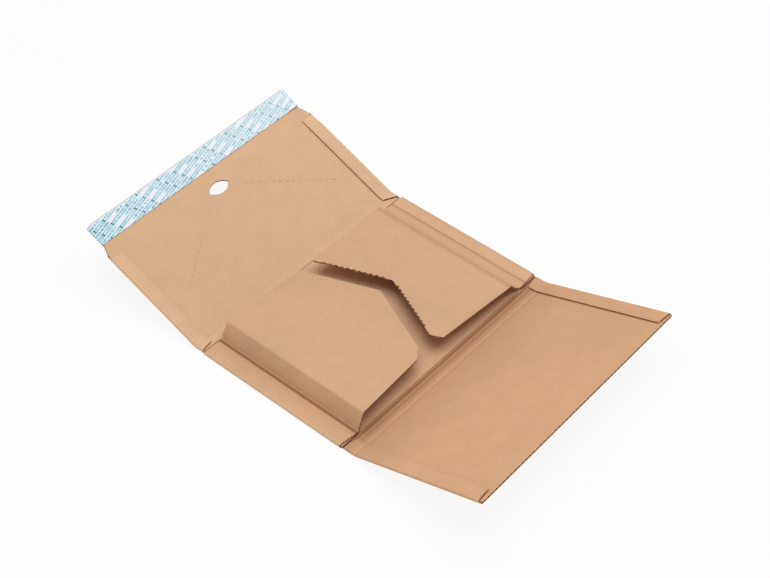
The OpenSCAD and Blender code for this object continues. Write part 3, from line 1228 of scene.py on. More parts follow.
@dataclass(frozen=True)
class EdgeWall:
    """Folded edge of the base: a strip that lies on it, and a leaning wall with a little bow.

    Attributes:
        half: long side that it lies on.
        slope: slope of the wall from foot to top.
        bow: how much steeper the wall is at its top than on the whole.
        foot_r: radius of the board's middle at the wall's foot.
        out: how far the folded edge stands out past the outer panels' edges.
        strip_x0: start of the strip along X.
        strip_x1: its end.
        slant: how much shorter its end is at the outer edge.
        score: distance of the strip's score from the outer panels' edges.
        score_depth: depth of the score.
        score_width: width of the score.
    """

    half: Half
    slope: float
    bow: float
    foot_r: float
    out: float
    strip_x0: float = -97.2
    strip_x1: float = 98.4
    slant: float = 2.8
    score: float = 17.0
    score_depth: float = 0.4
    score_width: float = 0.75

    def axis(self) -> Array:
        """Place of the fold on the wall's top in the YZ plane."""
        top = wall_top(self.slope)
        return np.array([self.half.value * (BLANK.half_w - top[0]), top[1]])

    def wall_heading(self) -> float:
        """Direction up the wall at its top in the YZ plane."""
        steep = self.slope + self.bow
        return steep if self.half is Half.NEAR else 180 - steep

    def line(self) -> FoldLine:
        """Mid-line from the floor round the edge, along the strip and up the wall, on the far side.

        The wall is an arc on the chord from the foot's bend to just under the top fold. The strip
        takes the length that is left.
        """
        t, first = STOCK.thick, self.slope - self.bow
        top = wall_top(self.slope) - BLANK.flap_fold * unit(self.slope + self.bow)
        (cos, sin), (foot_cos, foot_sin) = unit(self.slope), unit(first)
        chord = (top[1] - 1.5 * t - self.foot_r * (1 - foot_cos)) / sin
        strip = top[0] - chord * cos - self.foot_r * foot_sin - t + self.out
        wall = chord / np.sinc(self.bow / 180)
        legs = [bow(t / 2, 180), Leg(strip), bow(self.foot_r, -first), Leg(wall, -2 * self.bow)]
        return FoldLine(np.array([BLANK.half_w + self.out - t, t / 2]), 0.0, legs)

    def run(self) -> BoardRun:
        """Board of the edge, with its slanted ends and the score pressed into the strip."""
        line, join = self.line(), STOCK.thick - LAYER_GAP
        inner, first = BLANK.half_len - BLANK.fold_half, BLANK.half_w - self.out
        stops = [-self.out, BLANK.strip_w, float(wall_top(self.slope)[0])]
        starts = [self.strip_x0, self.strip_x0, BLANK.wall_x0]
        ends = [self.strip_x1 - self.slant, self.strip_x1, BLANK.wall_x1]
        mark = line.joins[1] + self.score + self.out - STOCK.thick

        def scored(along: Array, across: Array) -> Array:
            """Depth of the score, a bell curve across it."""
            return self.score_depth * bell(across - first - mark, self.score_width)

        return BoardRun(
            line,
            layered(line, join, const(-inner), lambda inset: np.interp(inset, stops, starts)),
            layered(line, join, const(inner), lambda inset: np.interp(inset, stops, ends)),
            offset=first, half=self.half, press_right=scored,
            rows=np.union1d(line.stations(), mark + np.linspace(-1.8, 1.8, 9)),
        )


@dataclass
class BaseCradle:
    """Base with its folded edges.

    Attributes:
        near: its near edge.
        far: its far edge.
        steps: steps of the floor's grid along the flutes.
        top_shade: half width and change of tone of the shade at the top of the far wall.
    """

    near: EdgeWall
    far: EdgeWall
    steps: int = 6
    top_shade: Range = (13.0, -0.17)

    def build(self) -> PieceMesh:
        """Lays the floor and the two edges as one piece."""
        t, w, h = STOCK.thick, BLANK.half_w, BLANK.half_len - BLANK.fold_half
        piece = PieceMesh("base_board")
        low, high = t - w - self.near.out, w + self.far.out - t
        line = FoldLine(np.array([low, t / 2]), 0.0, [Leg(high - low)])
        uncut = (const(0), const(0))
        floor = BoardRun(line, const(-h), const(h), offset=low, spread=self.steps, cuts=uncut)
        for run in (floor, self.near.run(), self.far.run()):
            run.lay(piece)
        return piece

    def dress(self, piece: PieceMesh, edges: Edges) -> Objects:
        """Gives the base its finishes and puts it in place of its solid.

        Args:
            piece: the laid boards.
            edges: finishes of the cut edges.

        Returns:
            The object.
        """
        top = self.far.run().offset + self.far.line().length
        bands = (*BASE_LINES, Band(Way.ACROSS, top, *self.top_shade))
        face = KraftFace("kraft_base", bands=bands).material()
        board = piece.make(edges.skins(face, face))
        settle(board, "base", "base_panel")
        return [board]


@dataclass
class SwungPart:
    """A part of the blank that swings: a board on its own body, and the fold between it and the base.

    Attributes:
        name: name of its piece.
        body: body that it rides on.
        node: solid that it stands for.
    """

    name: str
    body: str
    node: str

    def meshes(self) -> Meshes:
        """Empty meshes of the board and of the fold."""
        return PieceMesh(self.name), PieceMesh(self.name + "_fold")

    def hang(self, meshes: Meshes, skins: list[Materials], ends: list[Sequence[float]]) -> Objects:
        """Makes the board and the fold, puts the board on its body and bakes the fold where it lies.

        Args:
            meshes: the laid board and fold.
            skins: the materials of each.
            ends: points at which the fold meets the base and the board; not used.

        Returns:
            The two objects.
        """
        board, fold = (mesh.make(skin) for mesh, skin in zip(meshes, skins))
        settle(board, self.body, self.node)
        start, end = (tuple(float(v) * MM for v in point) for point in ends)
        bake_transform(fold)
        return [board, fold]


@dataclass
class InnerFlap(SwungPart):
    """A flap on the top of a wall, cut to one half of the chevron slot.

    Attributes:
        edge: the folded edge whose wall it hangs on.
        heading: direction from the fold to its end.
        reach: length from the fold to the tip or the bottom of the notch.
        ending: whether it ends in the tip or in the notch.
        tip_r: radius there.
        teeth: depth of the teeth along the slot.
        tooth: distance from tooth to tooth along the slot.
        bare: distance without teeth at both ends of their row, measured away from the fold.
        shade: change of tone at the fold.
        tip_x: place of the tip or the notch along X.
        chevron_closing: slope of the slot on the closing flap's side.
        chevron_cover: slope on the cover's side.
        taper_closing: taper of the flap's side there.
        taper_cover: taper on the cover's side.
        corner_cut: length of the cut corner on the cover's side.
        corner_r: radius of the corners.
        fold_r: radius of the rounded fold's inner face.
        even_rows: even rows of its grid.
    """

    edge: EdgeWall
    heading: float
    reach: float
    ending: Ending
    tip_r: float
    teeth: float = 0.0
    tooth: float = 6.6
    bare: float = 3.0
    shade: float = 0.0
    tip_x: float = -4.5
    chevron_closing: float = 22.5
    chevron_cover: float = 24.0
    taper_closing: float = 1.5
    taper_cover: float = 4.0
    corner_cut: float = 10.0
    corner_r: float = 1.5
    fold_r: float = 0.06
    even_rows: int = 24

    def outline(self) -> Array:
        """Outline from the fold's start to its end, as X and distance from the fold, corners rounded."""
        x0, x1, tip, cut, r = BLANK.wall_x0, BLANK.wall_x1, self.tip_x, self.corner_cut, self.corner_r
        ta, tb = tan(self.taper_closing), tan(self.taper_cover)
        ca, cb = (self.ending.value * tan(slope) for slope in (self.chevron_closing, self.chevron_cover))
        ya = (self.reach - (tip - x0) * ca) / (1 - ta * ca)
        yb = (self.reach - (x1 - tip) * cb) / (1 - tb * cb)
        xb = x1 - yb * tb
        cos, sin = unit(self.taper_cover)
        end = [[tip, self.reach], [xb - cut, yb + cut * cb], [xb + cut * sin, yb - cut * cos]]
        points = np.array([[x0, 0], [x0 + ya * ta, ya], *end, [x1, 0]], float)
        return round_corners(points, [0, r, self.tip_r, r, r, 0])

    def halves(self) -> list[Array]:
        """The outline as stretches that have one start and one end at each distance from the fold."""
        outline = self.outline()
        if self.ending is Ending.TIP:
            return [outline]
        notch = np.abs(outline[:, 0] - self.tip_x) < self.tip_r
        split = int(np.argmin(np.where(notch, outline[:, 1], np.inf)))
        foot = np.array([[outline[split, 0], 0.0]])
        return [np.concatenate([outline[: split + 1], foot]), np.concatenate([foot, outline[split:]])]

    def run(self, outline: Array) -> BoardRun:
        """Board inside one outline.

        The outline's rising side gives the start of each row and its falling side the end. The teeth
        are a saw wave of the distance from the fold, set into the side that borders the slot: one face of
        each runs along the flutes, and the other back out to the edge.

        Args:
            outline: points from the fold's start to its end.

        Returns:
            The stretch of board.
        """
        top = int(np.argmax(outline[:, 1]))
        rise, fall = outline[: top + 1], outline[top:][::-1]
        e, peak = BLANK.flap_fold, float(outline[top, 1]) - STOCK.slack
        line = FoldLine(self.ends()[1], self.heading, [Leg(peak - e)])
        lean = math.sin(math.radians((self.chevron_closing + self.chevron_cover) / 2))
        first, step = self.reach + self.bare, self.tooth * lean
        bites = np.arange(first, peak - self.bare, step) if self.teeth else np.zeros(0)
        faces = np.add.outer((-0.01, 0.01), bites).ravel()
        marks = np.concatenate([np.linspace(e, peak, self.even_rows), rise[:, 1], fall[:, 1], faces])
        rows = np.unique(np.round(marks[(marks >= e) & (marks <= peak)], 3)) - e

        def outer(chain: Array) -> bool:
            """Whether a side starts at an end of the wall, so that it doesn't border the slot."""
            return chain[0, 0] in (BLANK.wall_x0, BLANK.wall_x1)

        def side(chain: Array, inward: int, arc: Array) -> Array:
            """One side of the rows: the chain's place, with the teeth where it borders the slot.

            Args:
                chain: the side's points, as X and distance from the fold.
                inward: sign of X into the board.
                arc: arc lengths of the rows.

            Returns:
                X of the side in each row.
            """
            away = arc + e
            edge = np.interp(away, chain[:, 1], chain[:, 0])
            if outer(chain) or not len(bites):
                return edge
            within = (away > first) & (away < bites[-1])
            wave = 1 - (away - first) / step % 1
            return edge + inward * within * self.teeth / lean * wave

        def cut(chain: Array, arc: Array) -> Array:
            """How far a side is cut: not where the flap's two halves join, up to the notch."""
            return np.clip((arc + e - self.reach - 1.0) / 2, float(outer(chain)), 1)

        return BoardRun(
            line, partial(side, rise, 1), partial(side, fall, -1), offset=e, rows=rows,
            cuts=(partial(cut, rise), partial(cut, fall)),
        )

    def ends(self) -> list[Array]:
        """Ends of the rounded fold in the YZ plane, on the wall and on the flap."""
        axis, e = self.edge.axis(), BLANK.flap_fold
        return [axis - e * unit(self.edge.wall_heading()), axis + e * unit(self.heading)]

    def build(self) -> Meshes:
        """Lays the flap's board and the rounded fold that joins it to its wall."""
        board, fold = self.meshes()
        for outline in self.halves():
            self.run(outline).lay(board)
        wall, radius = self.edge.wall_heading(), STOCK.thick / 2 + self.fold_r
        turn = (self.heading - wall + 180) % 360 - 180
        side = BLANK.flap_fold - radius * tan(abs(turn) / 2)
        line = FoldLine(self.ends()[0], wall, [Leg(side), bow(radius, turn), Leg(side)])
        BoardRun(line, const(BLANK.wall_x0), const(BLANK.wall_x1), offset=-line.length).lay(fold)
        return board, fold

    def dress(self, meshes: Meshes, edges: Edges) -> Objects:
        """Gives the flap and its fold their finishes, and puts the flap on its body.

        Args:
            meshes: the flap's board and the rounded fold.
            edges: finishes of the cut edges.

        Returns:
            The two objects.
        """
        skins = []
        for mesh, at, half in zip(meshes, (0.0, -3.0), (9.0, 14.0)):
            face = KraftFace("kraft_" + mesh.name, bands=(Band(Way.ACROSS, at, half, self.shade),)).material()
            skins.append(edges.skins(face, face))
        return self.hang(meshes, skins, [(0.0, *end) for end in self.ends()])


@dataclass(frozen=True)
class CreaseShape:
    """Cross-section of a pressed crease: a groove between two raised lips.

    Attributes:
        depth: depth of the groove.
        width: width of the groove.
        lip: height of the lips.
        lip_at: their distance from the groove's middle.
        lip_width: their width.
        least: least thickness of the board in the crease.
    """

    depth: float
    width: float
    lip: float
    lip_at: float
    lip_width: float
    least: float = 0.1

    def groove(self, away: Array) -> Array:
        """Depth of the groove, a bell curve of the distance from its middle."""
        return self.depth * bell(away, self.width)

    def lips(self, away: Array) -> Array:
        """Height of the lips, a bell curve on each side."""
        return self.lip * bell(np.abs(away) - self.lip_at, self.lip_width)


SCORE = CreaseShape(depth=0.34, width=0.9, lip=0.16, lip_at=1.71, lip_width=0.9)
BASE_CREASE = CreaseShape(depth=0.45, width=0.45, lip=0.1, lip_at=0.95, lip_width=0.3)


@dataclass
class OuterPanel(SwungPart):
    """A panel beyond the base with its spine, glued hems and the crease beside the base.

    Attributes:
        bend: places the flat blank.
        length: length of the panel past its bend.
        hem: width of the hems.
        hem_end: where the hems end, past the bend.
        root_out: where they start beside the outer edge, from the fold.
        root_in: where they start at their inner edge, on the near and far sides.
        crease: change of tone in the crease beside the base, painted shade in its groove.
        tone: display colour of the paper, paler or darker from panel to panel as painted light and shade on
            the one board.
        bands: lines of its other creases, edges and hems, mostly painted shade and light.
        back_bands: lines of painted shade and light on its other face, which is the hems' upper one.
        scores: distances of pressed creases from the fold.
        slant: how much further the hems reach at their outer edge.
        skew: how much longer the sheet is on the far side than in the middle.
        near_press: depth and width of the pressing at the near hem's free edge.
        far_press: the same at the far hem's.
        flat: depth of the pressing at the hems' ends.
        flat_len: its length.
        pale: change of tone on the hems.
    """

    bend: Bend
    length: float
    hem: float
    hem_end: float
    root_out: float
    root_in: Range
    crease: float
    tone: Colour
    bands: tuple[Band, ...] = ()
    back_bands: tuple[Band, ...] = ()
    scores: tuple[float, ...] = ()
    slant: float = 0.0
    skew: float = 0.0
    near_press: Range = (1.5, 3.4)
    far_press: Range = (0.95, 1.7)
    flat: float = 0.0
    flat_len: float = 6.0
    pale: float = 0.0

    def edge_end(self, across: Array) -> Array:
        """Where the sheet ends past the bend, by the distance from its middle."""
        return self.length + self.skew * across / BLANK.half_w

    def sheet_end(self, across: Array) -> Array:
        """End of the sheet along the flutes, by the distance from its middle."""
        return self.bend.spine + self.edge_end(across)

    def relief(self, along: Array, across: Array) -> Array:
        """Depth of the creases: for each score a groove between two lips."""
        return sum((SCORE.groove(along - at) - SCORE.lips(along - at) for at in self.scores), 0 * along)

    def hem_run(self, half: Half) -> BoardRun:
        """Hem and the rounded edge fold on one side, with the hem's free edge pressed down by its die.

        Args:
            half: long side that it lies on.

        Returns:
            The stretch of board.
        """
        t, w, spine = STOCK.thick, BLANK.half_w, self.bend.spine
        line = FoldLine(np.array([w - t, -t / 2]), 0.0, [bow(t / 2, 180), Leg(self.hem - t)])
        near = half is Half.NEAR
        depth, spread = self.near_press if near else self.far_press
        root_in = self.root_in[0 if near else 1]

        def root(inset: Array) -> Array:
            """Slanted root of the hem."""
            return self.root_out + (root_in - self.root_out) * inset / self.hem

        def hem_end(inset: Array) -> Array:
            """Slanted end of the hem."""
            return spine + self.hem_end + self.slant * (1 - inset / self.hem)

        def pressing(along: Array, across: Array) -> Array:
            """Depth of the pressing: a bell curve at the free edge and one at the hem's end.

            Args:
                along: distance from the fold.
                across: distance from the middle, unrolled round the edge.

            Returns:
                Depths, the same shape.
            """
            free = depth * bell(across - w - line.length, spread)
            end = self.flat * bell(along - spine - self.hem_end, self.flat_len)
            return np.maximum(free, end * np.clip((across - w - 0.6) / 1.6, 0, 1))

        return BoardRun(
            line,
            layered(line, LAYER_GAP, const(BLANK.fold_half), root),
            layered(line, LAYER_GAP, lambda inset: self.sheet_end(half.value * (w - inset)), hem_end),
            self.bend, self.bend.knots(), PANEL_STEPS, offset=w, half=half, press_right=pressing,
            rows=np.union1d(line.stations(), line.length - HEM_ROWS), rim=Layer.HEM,
        )

    def columns(self) -> Array:
        """Distances from the fold that follow the scores and the bend."""
        bend = self.bend.knots()
        fine = np.add.outer(self.scores, np.linspace(-3.6, 3.6, 17)).ravel()
        fine = fine[(fine > BLANK.fold_half + 0.2) & (fine < bend[0] - 0.1)]
        return np.unique(np.round(np.concatenate([fine, bend]), 3))

    def flat_run(self, rows: Array, start: Limit, end: Limit, knots: Sequence[float]) -> BoardRun:
        """Flat board of the panel between two distances from its middle.

        Args:
            rows: distances from the middle at which the grid has rows, from the lowest to the highest.
            start: start along the flutes, by the distance from the middle.
            end: end along the flutes.
            knots: columns between them, or none where the start is a cut edge.

        Returns:
            The stretch of board.
        """
        low, high = float(rows.min()), float(rows.max())
        line = FoldLine(np.array([low, -STOCK.thick / 2]), 0.0, [Leg(high - low)])
        return BoardRun(
            line, lambda arc: start(arc + low), lambda arc: end(arc + low), self.bend, knots, PANEL_STEPS,
            offset=low, cuts=(const(len(knots) == 0), const(1)), press_left=self.relief,
            rows=np.unique(np.round(rows, 4)) - low,
        )

    def flats(self) -> list[BoardRun]:
        """The flat board as one stretch."""
        w = BLANK.half_w - STOCK.thick
        return [self.flat_run(np.linspace(-w, w, 40), const(BLANK.fold_half), self.sheet_end, self.columns())]

    def lay_crease(self, fold: PieceMesh) -> None:
        """Lays the crease beside the base.

        It is the slab between the inner face, pressed in along a bell curve between two lips, and the outer
        face, on a grid across the fold and along it. At both ends the outer face rounds up, on a quarter
        circle, to the folded edges beside it.

        Args:
            fold: the mesh that takes the slab.
        """
        d, t, w = BLANK.fold_half, STOCK.thick, BLANK.half_w
        rim = w - t + t * np.sin(np.linspace(0.05, 1.4, 8))
        rows = np.concatenate([-rim[::-1], np.linspace(t - w, w - t, 60), rim])
        x, y = np.meshgrid(np.linspace(-d, d, 17), rows)
        lips = np.clip((d - np.abs(x)) / 0.5, 0, 1) * BASE_CREASE.lips(x)
        top = t - STOCK.slack - BASE_CREASE.groove(x) + lips
        under = STOCK.slack + t - np.sqrt(t * t - np.clip(np.abs(y) - w + t, 0, t) ** 2)
        heights = (top, np.minimum(under, top - BASE_CREASE.least))
        faces = (straight(self.bend.side.value * (BLANK.half_len + x), y, height) for height in heights)
        fold.slab(*faces, np.stack([x, y], -1), (Layer.INNER, Layer.OUTER, Layer.RAW))

    def build(self) -> Meshes:
        """Lays the panel and the crease beside the base."""
        board, fold = self.meshes()
        for run in [*self.flats(), self.hem_run(Half.NEAR), self.hem_run(Half.FAR)]:
            run.lay(board)
        self.lay_crease(fold)
        return board, fold

    def dress(self, meshes: Meshes, edges: Edges) -> Objects:
        """Gives the panel and its crease their finishes, and puts the panel on its body.

        Args:
            meshes: the panel's boards and the crease.
            edges: finishes of the cut edges.

        Returns:
            The two objects.
        """
        side, kraft = self.bend.side, "kraft_" + self.name
        # Painted light on the shaded side of each rounded long edge, and a paler tone over the hems.
        hems = ((165.0, 3.2, 0.06 + self.pale), (173.0, 22.0, self.pale))
        mirrored = ((half.value * at, width, gain) for half in Half for at, width, gain in hems)
        hem_bands = Band.lines(Way.ACROSS, *mirrored)
        # Painted shade in the crease beside the base and in the slits at its ends.
        crease_bands = (Band(Way.ALONG, 0.2, 1.3, self.crease), *SLIT_SHADE_LINES)
        face = KraftFace(kraft, self.tone, self.bands, side is Side.CLOSING).material()
        back = KraftFace(kraft + "_back", self.tone, hem_bands + self.back_bands).material()
        crease = KraftFace(kraft + "_fold", self.tone, crease_bands).material()
        skins = [[*edges.skins(face, back), edges.hem], edges.skins(crease, back)]
        d = BLANK.fold_half
        ends = [(side.value * (BLANK.half_len + x), 0.0, STOCK.thick) for x in (-d, d)]
        return self.hang(meshes, skins, ends)


@dataclass
class ClosingFlap(OuterPanel):
    """The outer panel with a finger hole, tear lines and a tapered end for the seal.

    Attributes:
        taper_len: length of the tapered end's sides.
        taper_in: how far they come in.
        end_r: radius of its corners.
        hole_at: place of the hole past the bend.
        hole_len: length of the hole across the flutes.
        hole_w: width of the hole.
        hole_least: half of the gap in which the hole's two points end.
    """

    taper_len: float = 17.0
    taper_in: float = 7.0
    end_r: float = 8.0
    hole_at: float = 128.4
    hole_len: float = 30.0
    hole_w: float = 15.0
    hole_least: float = 0.004

    def edge_end(self, across: Array) -> Array:
        """Tapered side, then the end with its rounded corner, a quarter circle.

        Args:
            across: distance from the middle.

        Returns:
            Where the sheet ends past the bend.
        """
        inset = BLANK.half_w - np.abs(across)
        taper = self.hem_end + self.taper_len * inset / self.taper_in
        over = np.clip(self.end_r - (inset - self.taper_in), 0, self.end_r)
        corner = self.length - self.end_r + np.sqrt(self.end_r**2 - over**2)
        return np.where(inset < self.taper_in, taper, corner)

    def hole_side(self, sign: int, across: Array) -> Array:
        """One side of the almond hole, which is the overlap of two equal circles.

        Args:
            sign: -1 for the side towards the base, 1 for the other.
            across: distance from the middle.

        Returns:
            Place of the side along the flutes.
        """
        r = (self.hole_len**2 + self.hole_w**2) / (4 * self.hole_w)
        half = np.sqrt(r * r - across**2) - r + self.hole_w / 2
        return self.bend.spine + self.hole_at + sign * np.maximum(half, self.hole_least)

    def flats(self) -> list[BoardRun]:
        """The flat board in four stretches round the hole."""
        w, h = BLANK.half_w - STOCK.thick, self.hole_len / 2
        side = BLANK.half_w - self.taper_in
        corner = side - self.end_r * (1 - np.cos(np.linspace(0, math.pi / 2, 9)))
        rows = np.concatenate([np.linspace(h, w, 18), [side + 0.01, side - 0.01], corner])
        arch = h * np.sin(np.linspace(-math.pi / 2, math.pi / 2, 25))
        fold, columns = const(BLANK.fold_half), self.columns()
        return [
            self.flat_run(-rows, fold, self.sheet_end, columns),
            self.flat_run(rows, fold, self.sheet_end, columns),
            self.flat_run(arch, fold, partial(self.hole_side, -1), columns),
            self.flat_run(arch, partial(self.hole_side, 1), self.sheet_end, ()),
        ]


@dataclass
class SealStrip:
    """Adhesive at the end of the closing flap, and the release paper over it.

    Attributes:
        bend: places the closing flap's blank.
        panel_len: length of the flap past its bend.
        width: width of the paper.
        back: how far it stays back from the flap's end.
        half_w: half of its length.
        end_r: radius of its corners.
        over: length of the part at its near end that turns down over the board's edge.
        droop: how far it turns down there.
        tail: length of the loose tail at its far end.
        lift: height of the tail's end.
        paper: thickness of the paper.
        glue: thickness of the adhesive.
        glue_w: width of the adhesive.
        glue_back: distance of the adhesive's middle from the flap's end, less half of the paper's width.
        gap: gap under the adhesive and under the paper.
        ripple: height and length of the paper's short ripples.
        swell: height and length of its long ones.
    """

    bend: Bend
    panel_len: float
    width: float = 28.0
    back: float = 0.4
    half_w: float = 155.8
    end_r: float = 5.0
    over: float = 1.2
    droop: float = 1.3
    tail: float = 24.0
    lift: float = 2.8
    paper: float = 0.12
    glue: float = 0.3
    glue_w: float = 20.0
    glue_back: float = 1.5
    gap: float = 0.02
    ripple: Range = (0.05, 9.0)
    swell: Range = (0.03, 23.0)

    def glue_band(self) -> PieceMesh:
        """Lays the adhesive: the slab between two surfaces parallel to the panel, on a plain grid."""
        w, mid = self.half_w - self.end_r, self.bend.spine + self.panel_len - self.glue_back - self.width / 2
        rows, columns = np.linspace(-w, w - self.tail, 90), mid + self.glue_w / 2 * np.linspace(-1, 1, 7)
        across, along = np.meshgrid(rows, columns, indexing="ij")
        piece = PieceMesh("seal_glue")
        faces = (self.bend(along, across, 0 * along + height) for height in (self.glue, self.gap))
        piece.slab(*faces, np.stack([along, across], -1), (Layer.INNER, Layer.INNER, Layer.INNER))
        return piece

    def liner(self) -> PieceMesh:
        """Lays the paper.

        Its height is the glue's, plus slow ripples, a sum of two sines, plus a tail that rises with
        the power 1.6 of the distance past its root. The other end turns down over the board's edge, as
        a parabola. Its outer corners are quarter circles.
        """
        w, r, over = self.half_w, self.end_r, self.over
        corner = r * (1 - np.cos(np.linspace(0, math.pi / 2, 9)))
        turned, middle = np.linspace(-w - over, -w, 5)[:-1], np.linspace(r - w, w - r, 120)
        rows = np.concatenate([turned, corner[:-1] - w, middle, w - corner[-2::-1]])
        side = np.clip(r - (w + over * (rows < 0) - np.abs(rows)), 0, r)
        last = self.bend.spine + self.panel_len - self.back
        start, end = last - self.width, last - r + np.sqrt(r**2 - side**2)
        share = np.linspace(0, 1, 15)[None, :]
        along = start + (end[:, None] - start) * share
        across = np.broadcast_to(rows[:, None], along.shape)
        past = np.clip((across - w + self.tail) / self.tail, 0, 1)
        (ripple, ripple_len), (swell, swell_len) = self.ripple, self.swell
        waves = ripple * (1 + np.sin(across / ripple_len + 1.3 * share)) * (0.3 + np.abs(2 * share - 1))
        waves = waves + swell * (1 + np.sin(across / swell_len))
        drop = self.droop * (np.clip(-w - across, 0, over) / over) ** 2
        under = self.glue + self.gap + waves + self.lift * past**1.6 - drop
        piece = PieceMesh("release_paper")
        faces = (self.bend(along, across, height) for height in (under + self.paper, under))
        piece.slab(*faces, np.stack([along, across], -1), (Layer.INNER, Layer.OUTER, Layer.INNER))
        return piece

    def build(self) -> Meshes:
        """Lays the paper and the adhesive."""
        return self.liner(), self.glue_band()

    def dress(self, meshes: Meshes) -> Objects:
        """Gives the paper and the adhesive their finishes and puts them on the closing flap.

        Args:
            meshes: the paper and the adhesive.

        Returns:
            The two objects.
        """
        paper, glue = PrintedPaper().material(), SealGlue().material()
        strip, band = meshes[0].make([paper, glue]), meshes[1].make([glue])
        settle(strip, "closing_flap", "release_liner")
        settle(band, "closing_flap", "adhesive_strip")
        return [strip, band]


@dataclass(frozen=True)
class Lamp:
    """A square soft light that faces the object's middle.

    Attributes:
        name: its name.
        place: its place, in metres.
        size: length of its side, in metres.
        watts: its power.
        tint: its colour.
    """

    name: str
    place: Vector
    size: float
    watts: float
    tint: Vector


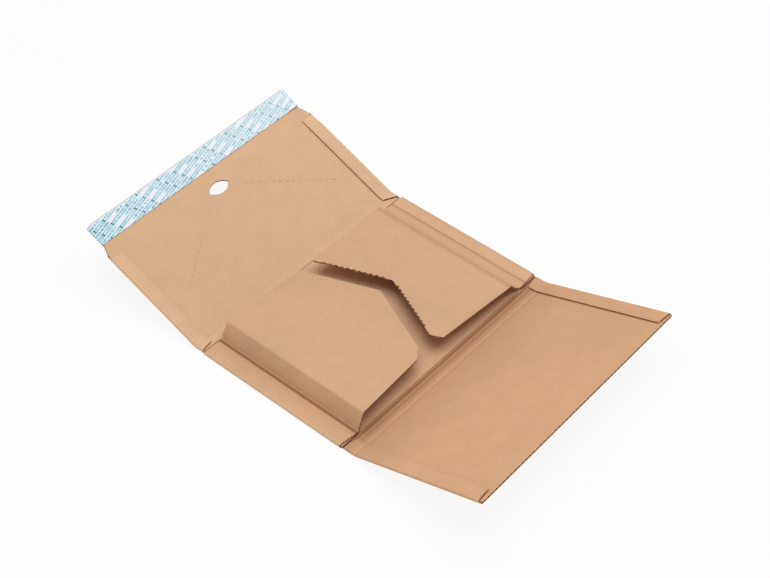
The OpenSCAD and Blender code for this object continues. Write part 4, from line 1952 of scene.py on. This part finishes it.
@dataclass
class Studio:
    """Pale floor, soft light and the camera.

    Attributes:
        azimuth: direction that the camera stands in, about Z.
        elevation: its height over the floor, as an angle.
        roll: its turn about its own axis.
        distance: its distance from the target.
        target: point that it looks at.
        focal_px: its focal length in pixels of the image.
        image_w: width of the image in pixels.
        lamps: the lights.
        sky: colour and strength of the surroundings as light on the object.
        floor_half: half of the floor's side, in metres.
        floor_z: height of the floor, in metres.
        floor_grey: brightness of the floor in the object's light.
        floor_white: share of plain white that the camera sees in it.
    """

    azimuth: float = 39.803
    elevation: float = 45.655
    roll: float = 0.973
    distance: float = 1866.26
    target: Vector = (-16.56, 39.21, 0.0)
    focal_px: float = 1675.5
    image_w: float = 770.0
    lamps: tuple[Lamp, ...] = (
        Lamp("key", (0.1, 0.4, 3.3), 3.2, 85.0, (0.98, 1.0, 1.04)),
        Lamp("fill", (0.1, -2.0, 1.0), 1.2, 3.9, (1.0, 0.82, 0.64)),
    )
    sky: tuple[Vector, float] = ((1.0, 0.945, 0.88), 0.36)
    floor_half: float = 6.0
    floor_z: float = -0.0003
    floor_grey: float = 0.86
    floor_white: float = 0.9

    def stand(self, name: str, data: bpy.types.ID, axes: Sequence[Array], place: Array) -> bpy.types.Object:
        """Adds a camera or a light, which looks down its own Z axis.

        Args:
            name: its name.
            data: its data.
            axes: its own X, Y and Z axes.
            place: its place, in metres.

        Returns:
            The object.
        """
        made = bpy.data.objects.new(name, data)
        matrix = np.eye(4)
        matrix[:3] = np.stack([*axes, place], -1)
        made.matrix_world = Matrix(matrix.tolist())
        bpy.context.scene.collection.objects.link(made)
        return made

    def camera(self) -> None:
        """Puts the camera on its sphere round the target, rolled about its own axis."""
        (cos_a, sin_a), (cos_e, sin_e), (cos_r, sin_r) = map(unit, (self.azimuth, self.elevation, self.roll))
        back = np.array([sin_a * cos_e, -cos_a * cos_e, sin_e])
        right = np.array([cos_a, sin_a, 0.0])
        up = np.cross(back, right)
        axes = (right * cos_r + up * sin_r, up * cos_r - right * sin_r, back)
        data = bpy.data.cameras.new("camera")
        data.sensor_fit, data.sensor_width = "HORIZONTAL", 36.0
        data.lens = self.focal_px / self.image_w * data.sensor_width
        data.clip_start, data.clip_end = 0.05, 50.0
        eye = (np.array(self.target) + back * self.distance) * MM
        bpy.context.scene.camera = self.stand("camera", data, axes, eye)

    def light(self) -> None:
        """Adds the lamps."""
        for lamp in self.lamps:
            data = bpy.data.lights.new(lamp.name, "AREA")
            data.size, data.energy, data.color = lamp.size, lamp.watts, lamp.tint
            place = np.array(lamp.place)
            back = place / np.linalg.norm(place)
            right = np.cross((0.0, 1.0, 0.0), back)
            right /= np.linalg.norm(right)
            self.stand(lamp.name, data, (right, np.cross(back, right), back), place)

    def floor(self) -> None:
        """Wide pale floor that the camera sees as nearly white, with the object's soft shadow."""
        mesh = bpy.data.meshes.new("floor")
        corners = np.array([[-1, -1], [1, -1], [1, 1], [-1, 1]]) * self.floor_half
        mesh.from_pydata(np.c_[corners, np.full(4, self.floor_z)].tolist(), [], [[0, 1, 2, 3]])
        floor = bpy.data.objects.new("floor", mesh)
        kit = NodeKit.paint("floor_white")
        grey = (self.floor_grey, self.floor_grey, self.floor_grey, 1.0)
        matt = kit.node("ShaderNodeBsdfPrincipled", {"Base Color": grey, "Roughness": 0.9})
        glow = kit.node("ShaderNodeEmission", {"Color": (1.0, 1.0, 1.0, 1.0), "Strength": 1.0})
        kit.backdrop(matt, glow, self.floor_white)
        mesh.materials.append(kit.owner)
        bpy.context.scene.collection.objects.link(floor)

    def world(self) -> None:
        """Even white surroundings: white to the camera, softer as light on the object."""
        kit = NodeKit(bpy.data.worlds.new("studio"), "ShaderNodeOutputWorld")
        levels = (self.sky, ((1.0, 1.0, 1.0), 1.0))
        inputs = ({"Color": (*tint, 1.0), "Strength": strength} for tint, strength in levels)
        kit.backdrop(*(kit.node("ShaderNodeBackground", values) for values in inputs), 1.0)
        bpy.context.scene.world = kit.owner

    def build(self) -> None:
        """Sets the camera, the floor, the light and the plain view."""
        self.camera()
        self.floor()
        self.world()
        self.light()
        bpy.context.scene.view_settings.view_transform = "Standard"


def main() -> None:
    """Builds the studio and the pieces in order, and reports each piece."""
    logging.basicConfig(level=logging.INFO, format="%(name)s %(message)s")
    Studio().build()
    edges = Edges.make()
    near_wall = EdgeWall(Half.NEAR, BLANK.near_slope, bow=-5.0, foot_r=4.5, out=1.2)
    far_wall = EdgeWall(Half.FAR, BLANK.far_slope, bow=17.0, foot_r=6.0, out=2.0)
    reach, slot = 145.0, 21.0
    rest = float(far_wall.axis()[0] - near_wall.axis()[0]) - reach - slot
    closing = ClosingFlap(
        "closing_board", "closing_flap", "closing_flap", Bend(Side.CLOSING, 14.2, 22.6, sag=(2.2, 1.6)),
        length=181.5, hem=18.0, hem_end=134.0, root_out=1.8, root_in=(5.2, 11.2), crease=-0.05,
        # The closing board's tone is painted paler than the base's, as painted light on the same board.
        tone=(220, 180, 144), bands=CLOSING_LINES, far_press=(0.9, 1.7), flat=1.4, pale=0.04,
    )
    parts = (
        BaseCradle(near_wall, far_wall),
        InnerFlap(
            "near_flap", "near_flap", "near_inner_flap", near_wall, heading=-1.5, reach=reach,
            ending=Ending.TIP, tip_r=4.0,
        ),
        InnerFlap(
            "far_flap", "far_flap", "far_inner_flap", far_wall, heading=178.0, reach=rest,
            ending=Ending.NOTCH, tip_r=8.0, teeth=2.1, shade=-0.17, taper_cover=3.0, corner_cut=12.0,
        ),
        closing,
        OuterPanel(
            "cover_board", "cover", "cover_panel", Bend(Side.COVER, 15.8, 20.4),
            # A deep painted shade in the crease, and a tone a little darker than the base's as painted shade
            # on the same board.
            length=169.4, hem=19.0, hem_end=165.2, root_out=1.8, root_in=(4.8, 4.8), crease=-0.55,
            tone=(212, 167, 130), bands=COVER_LINES, back_bands=COVER_BACK_LINES, scores=(7.6,), slant=2.0,
            skew=-0.7, pale=0.02,
        ),
    )
    pieces = [piece for part in parts for piece in part.dress(part.build(), edges)]
    seal = SealStrip(closing.bend, closing.length)
    pieces.extend(seal.dress(seal.build()))
    for piece in pieces:
        LOG.info("%s: %d points, %d faces", piece.name, len(piece.data.vertices), len(piece.data.polygons))


if __name__ == "__main__":
    main()
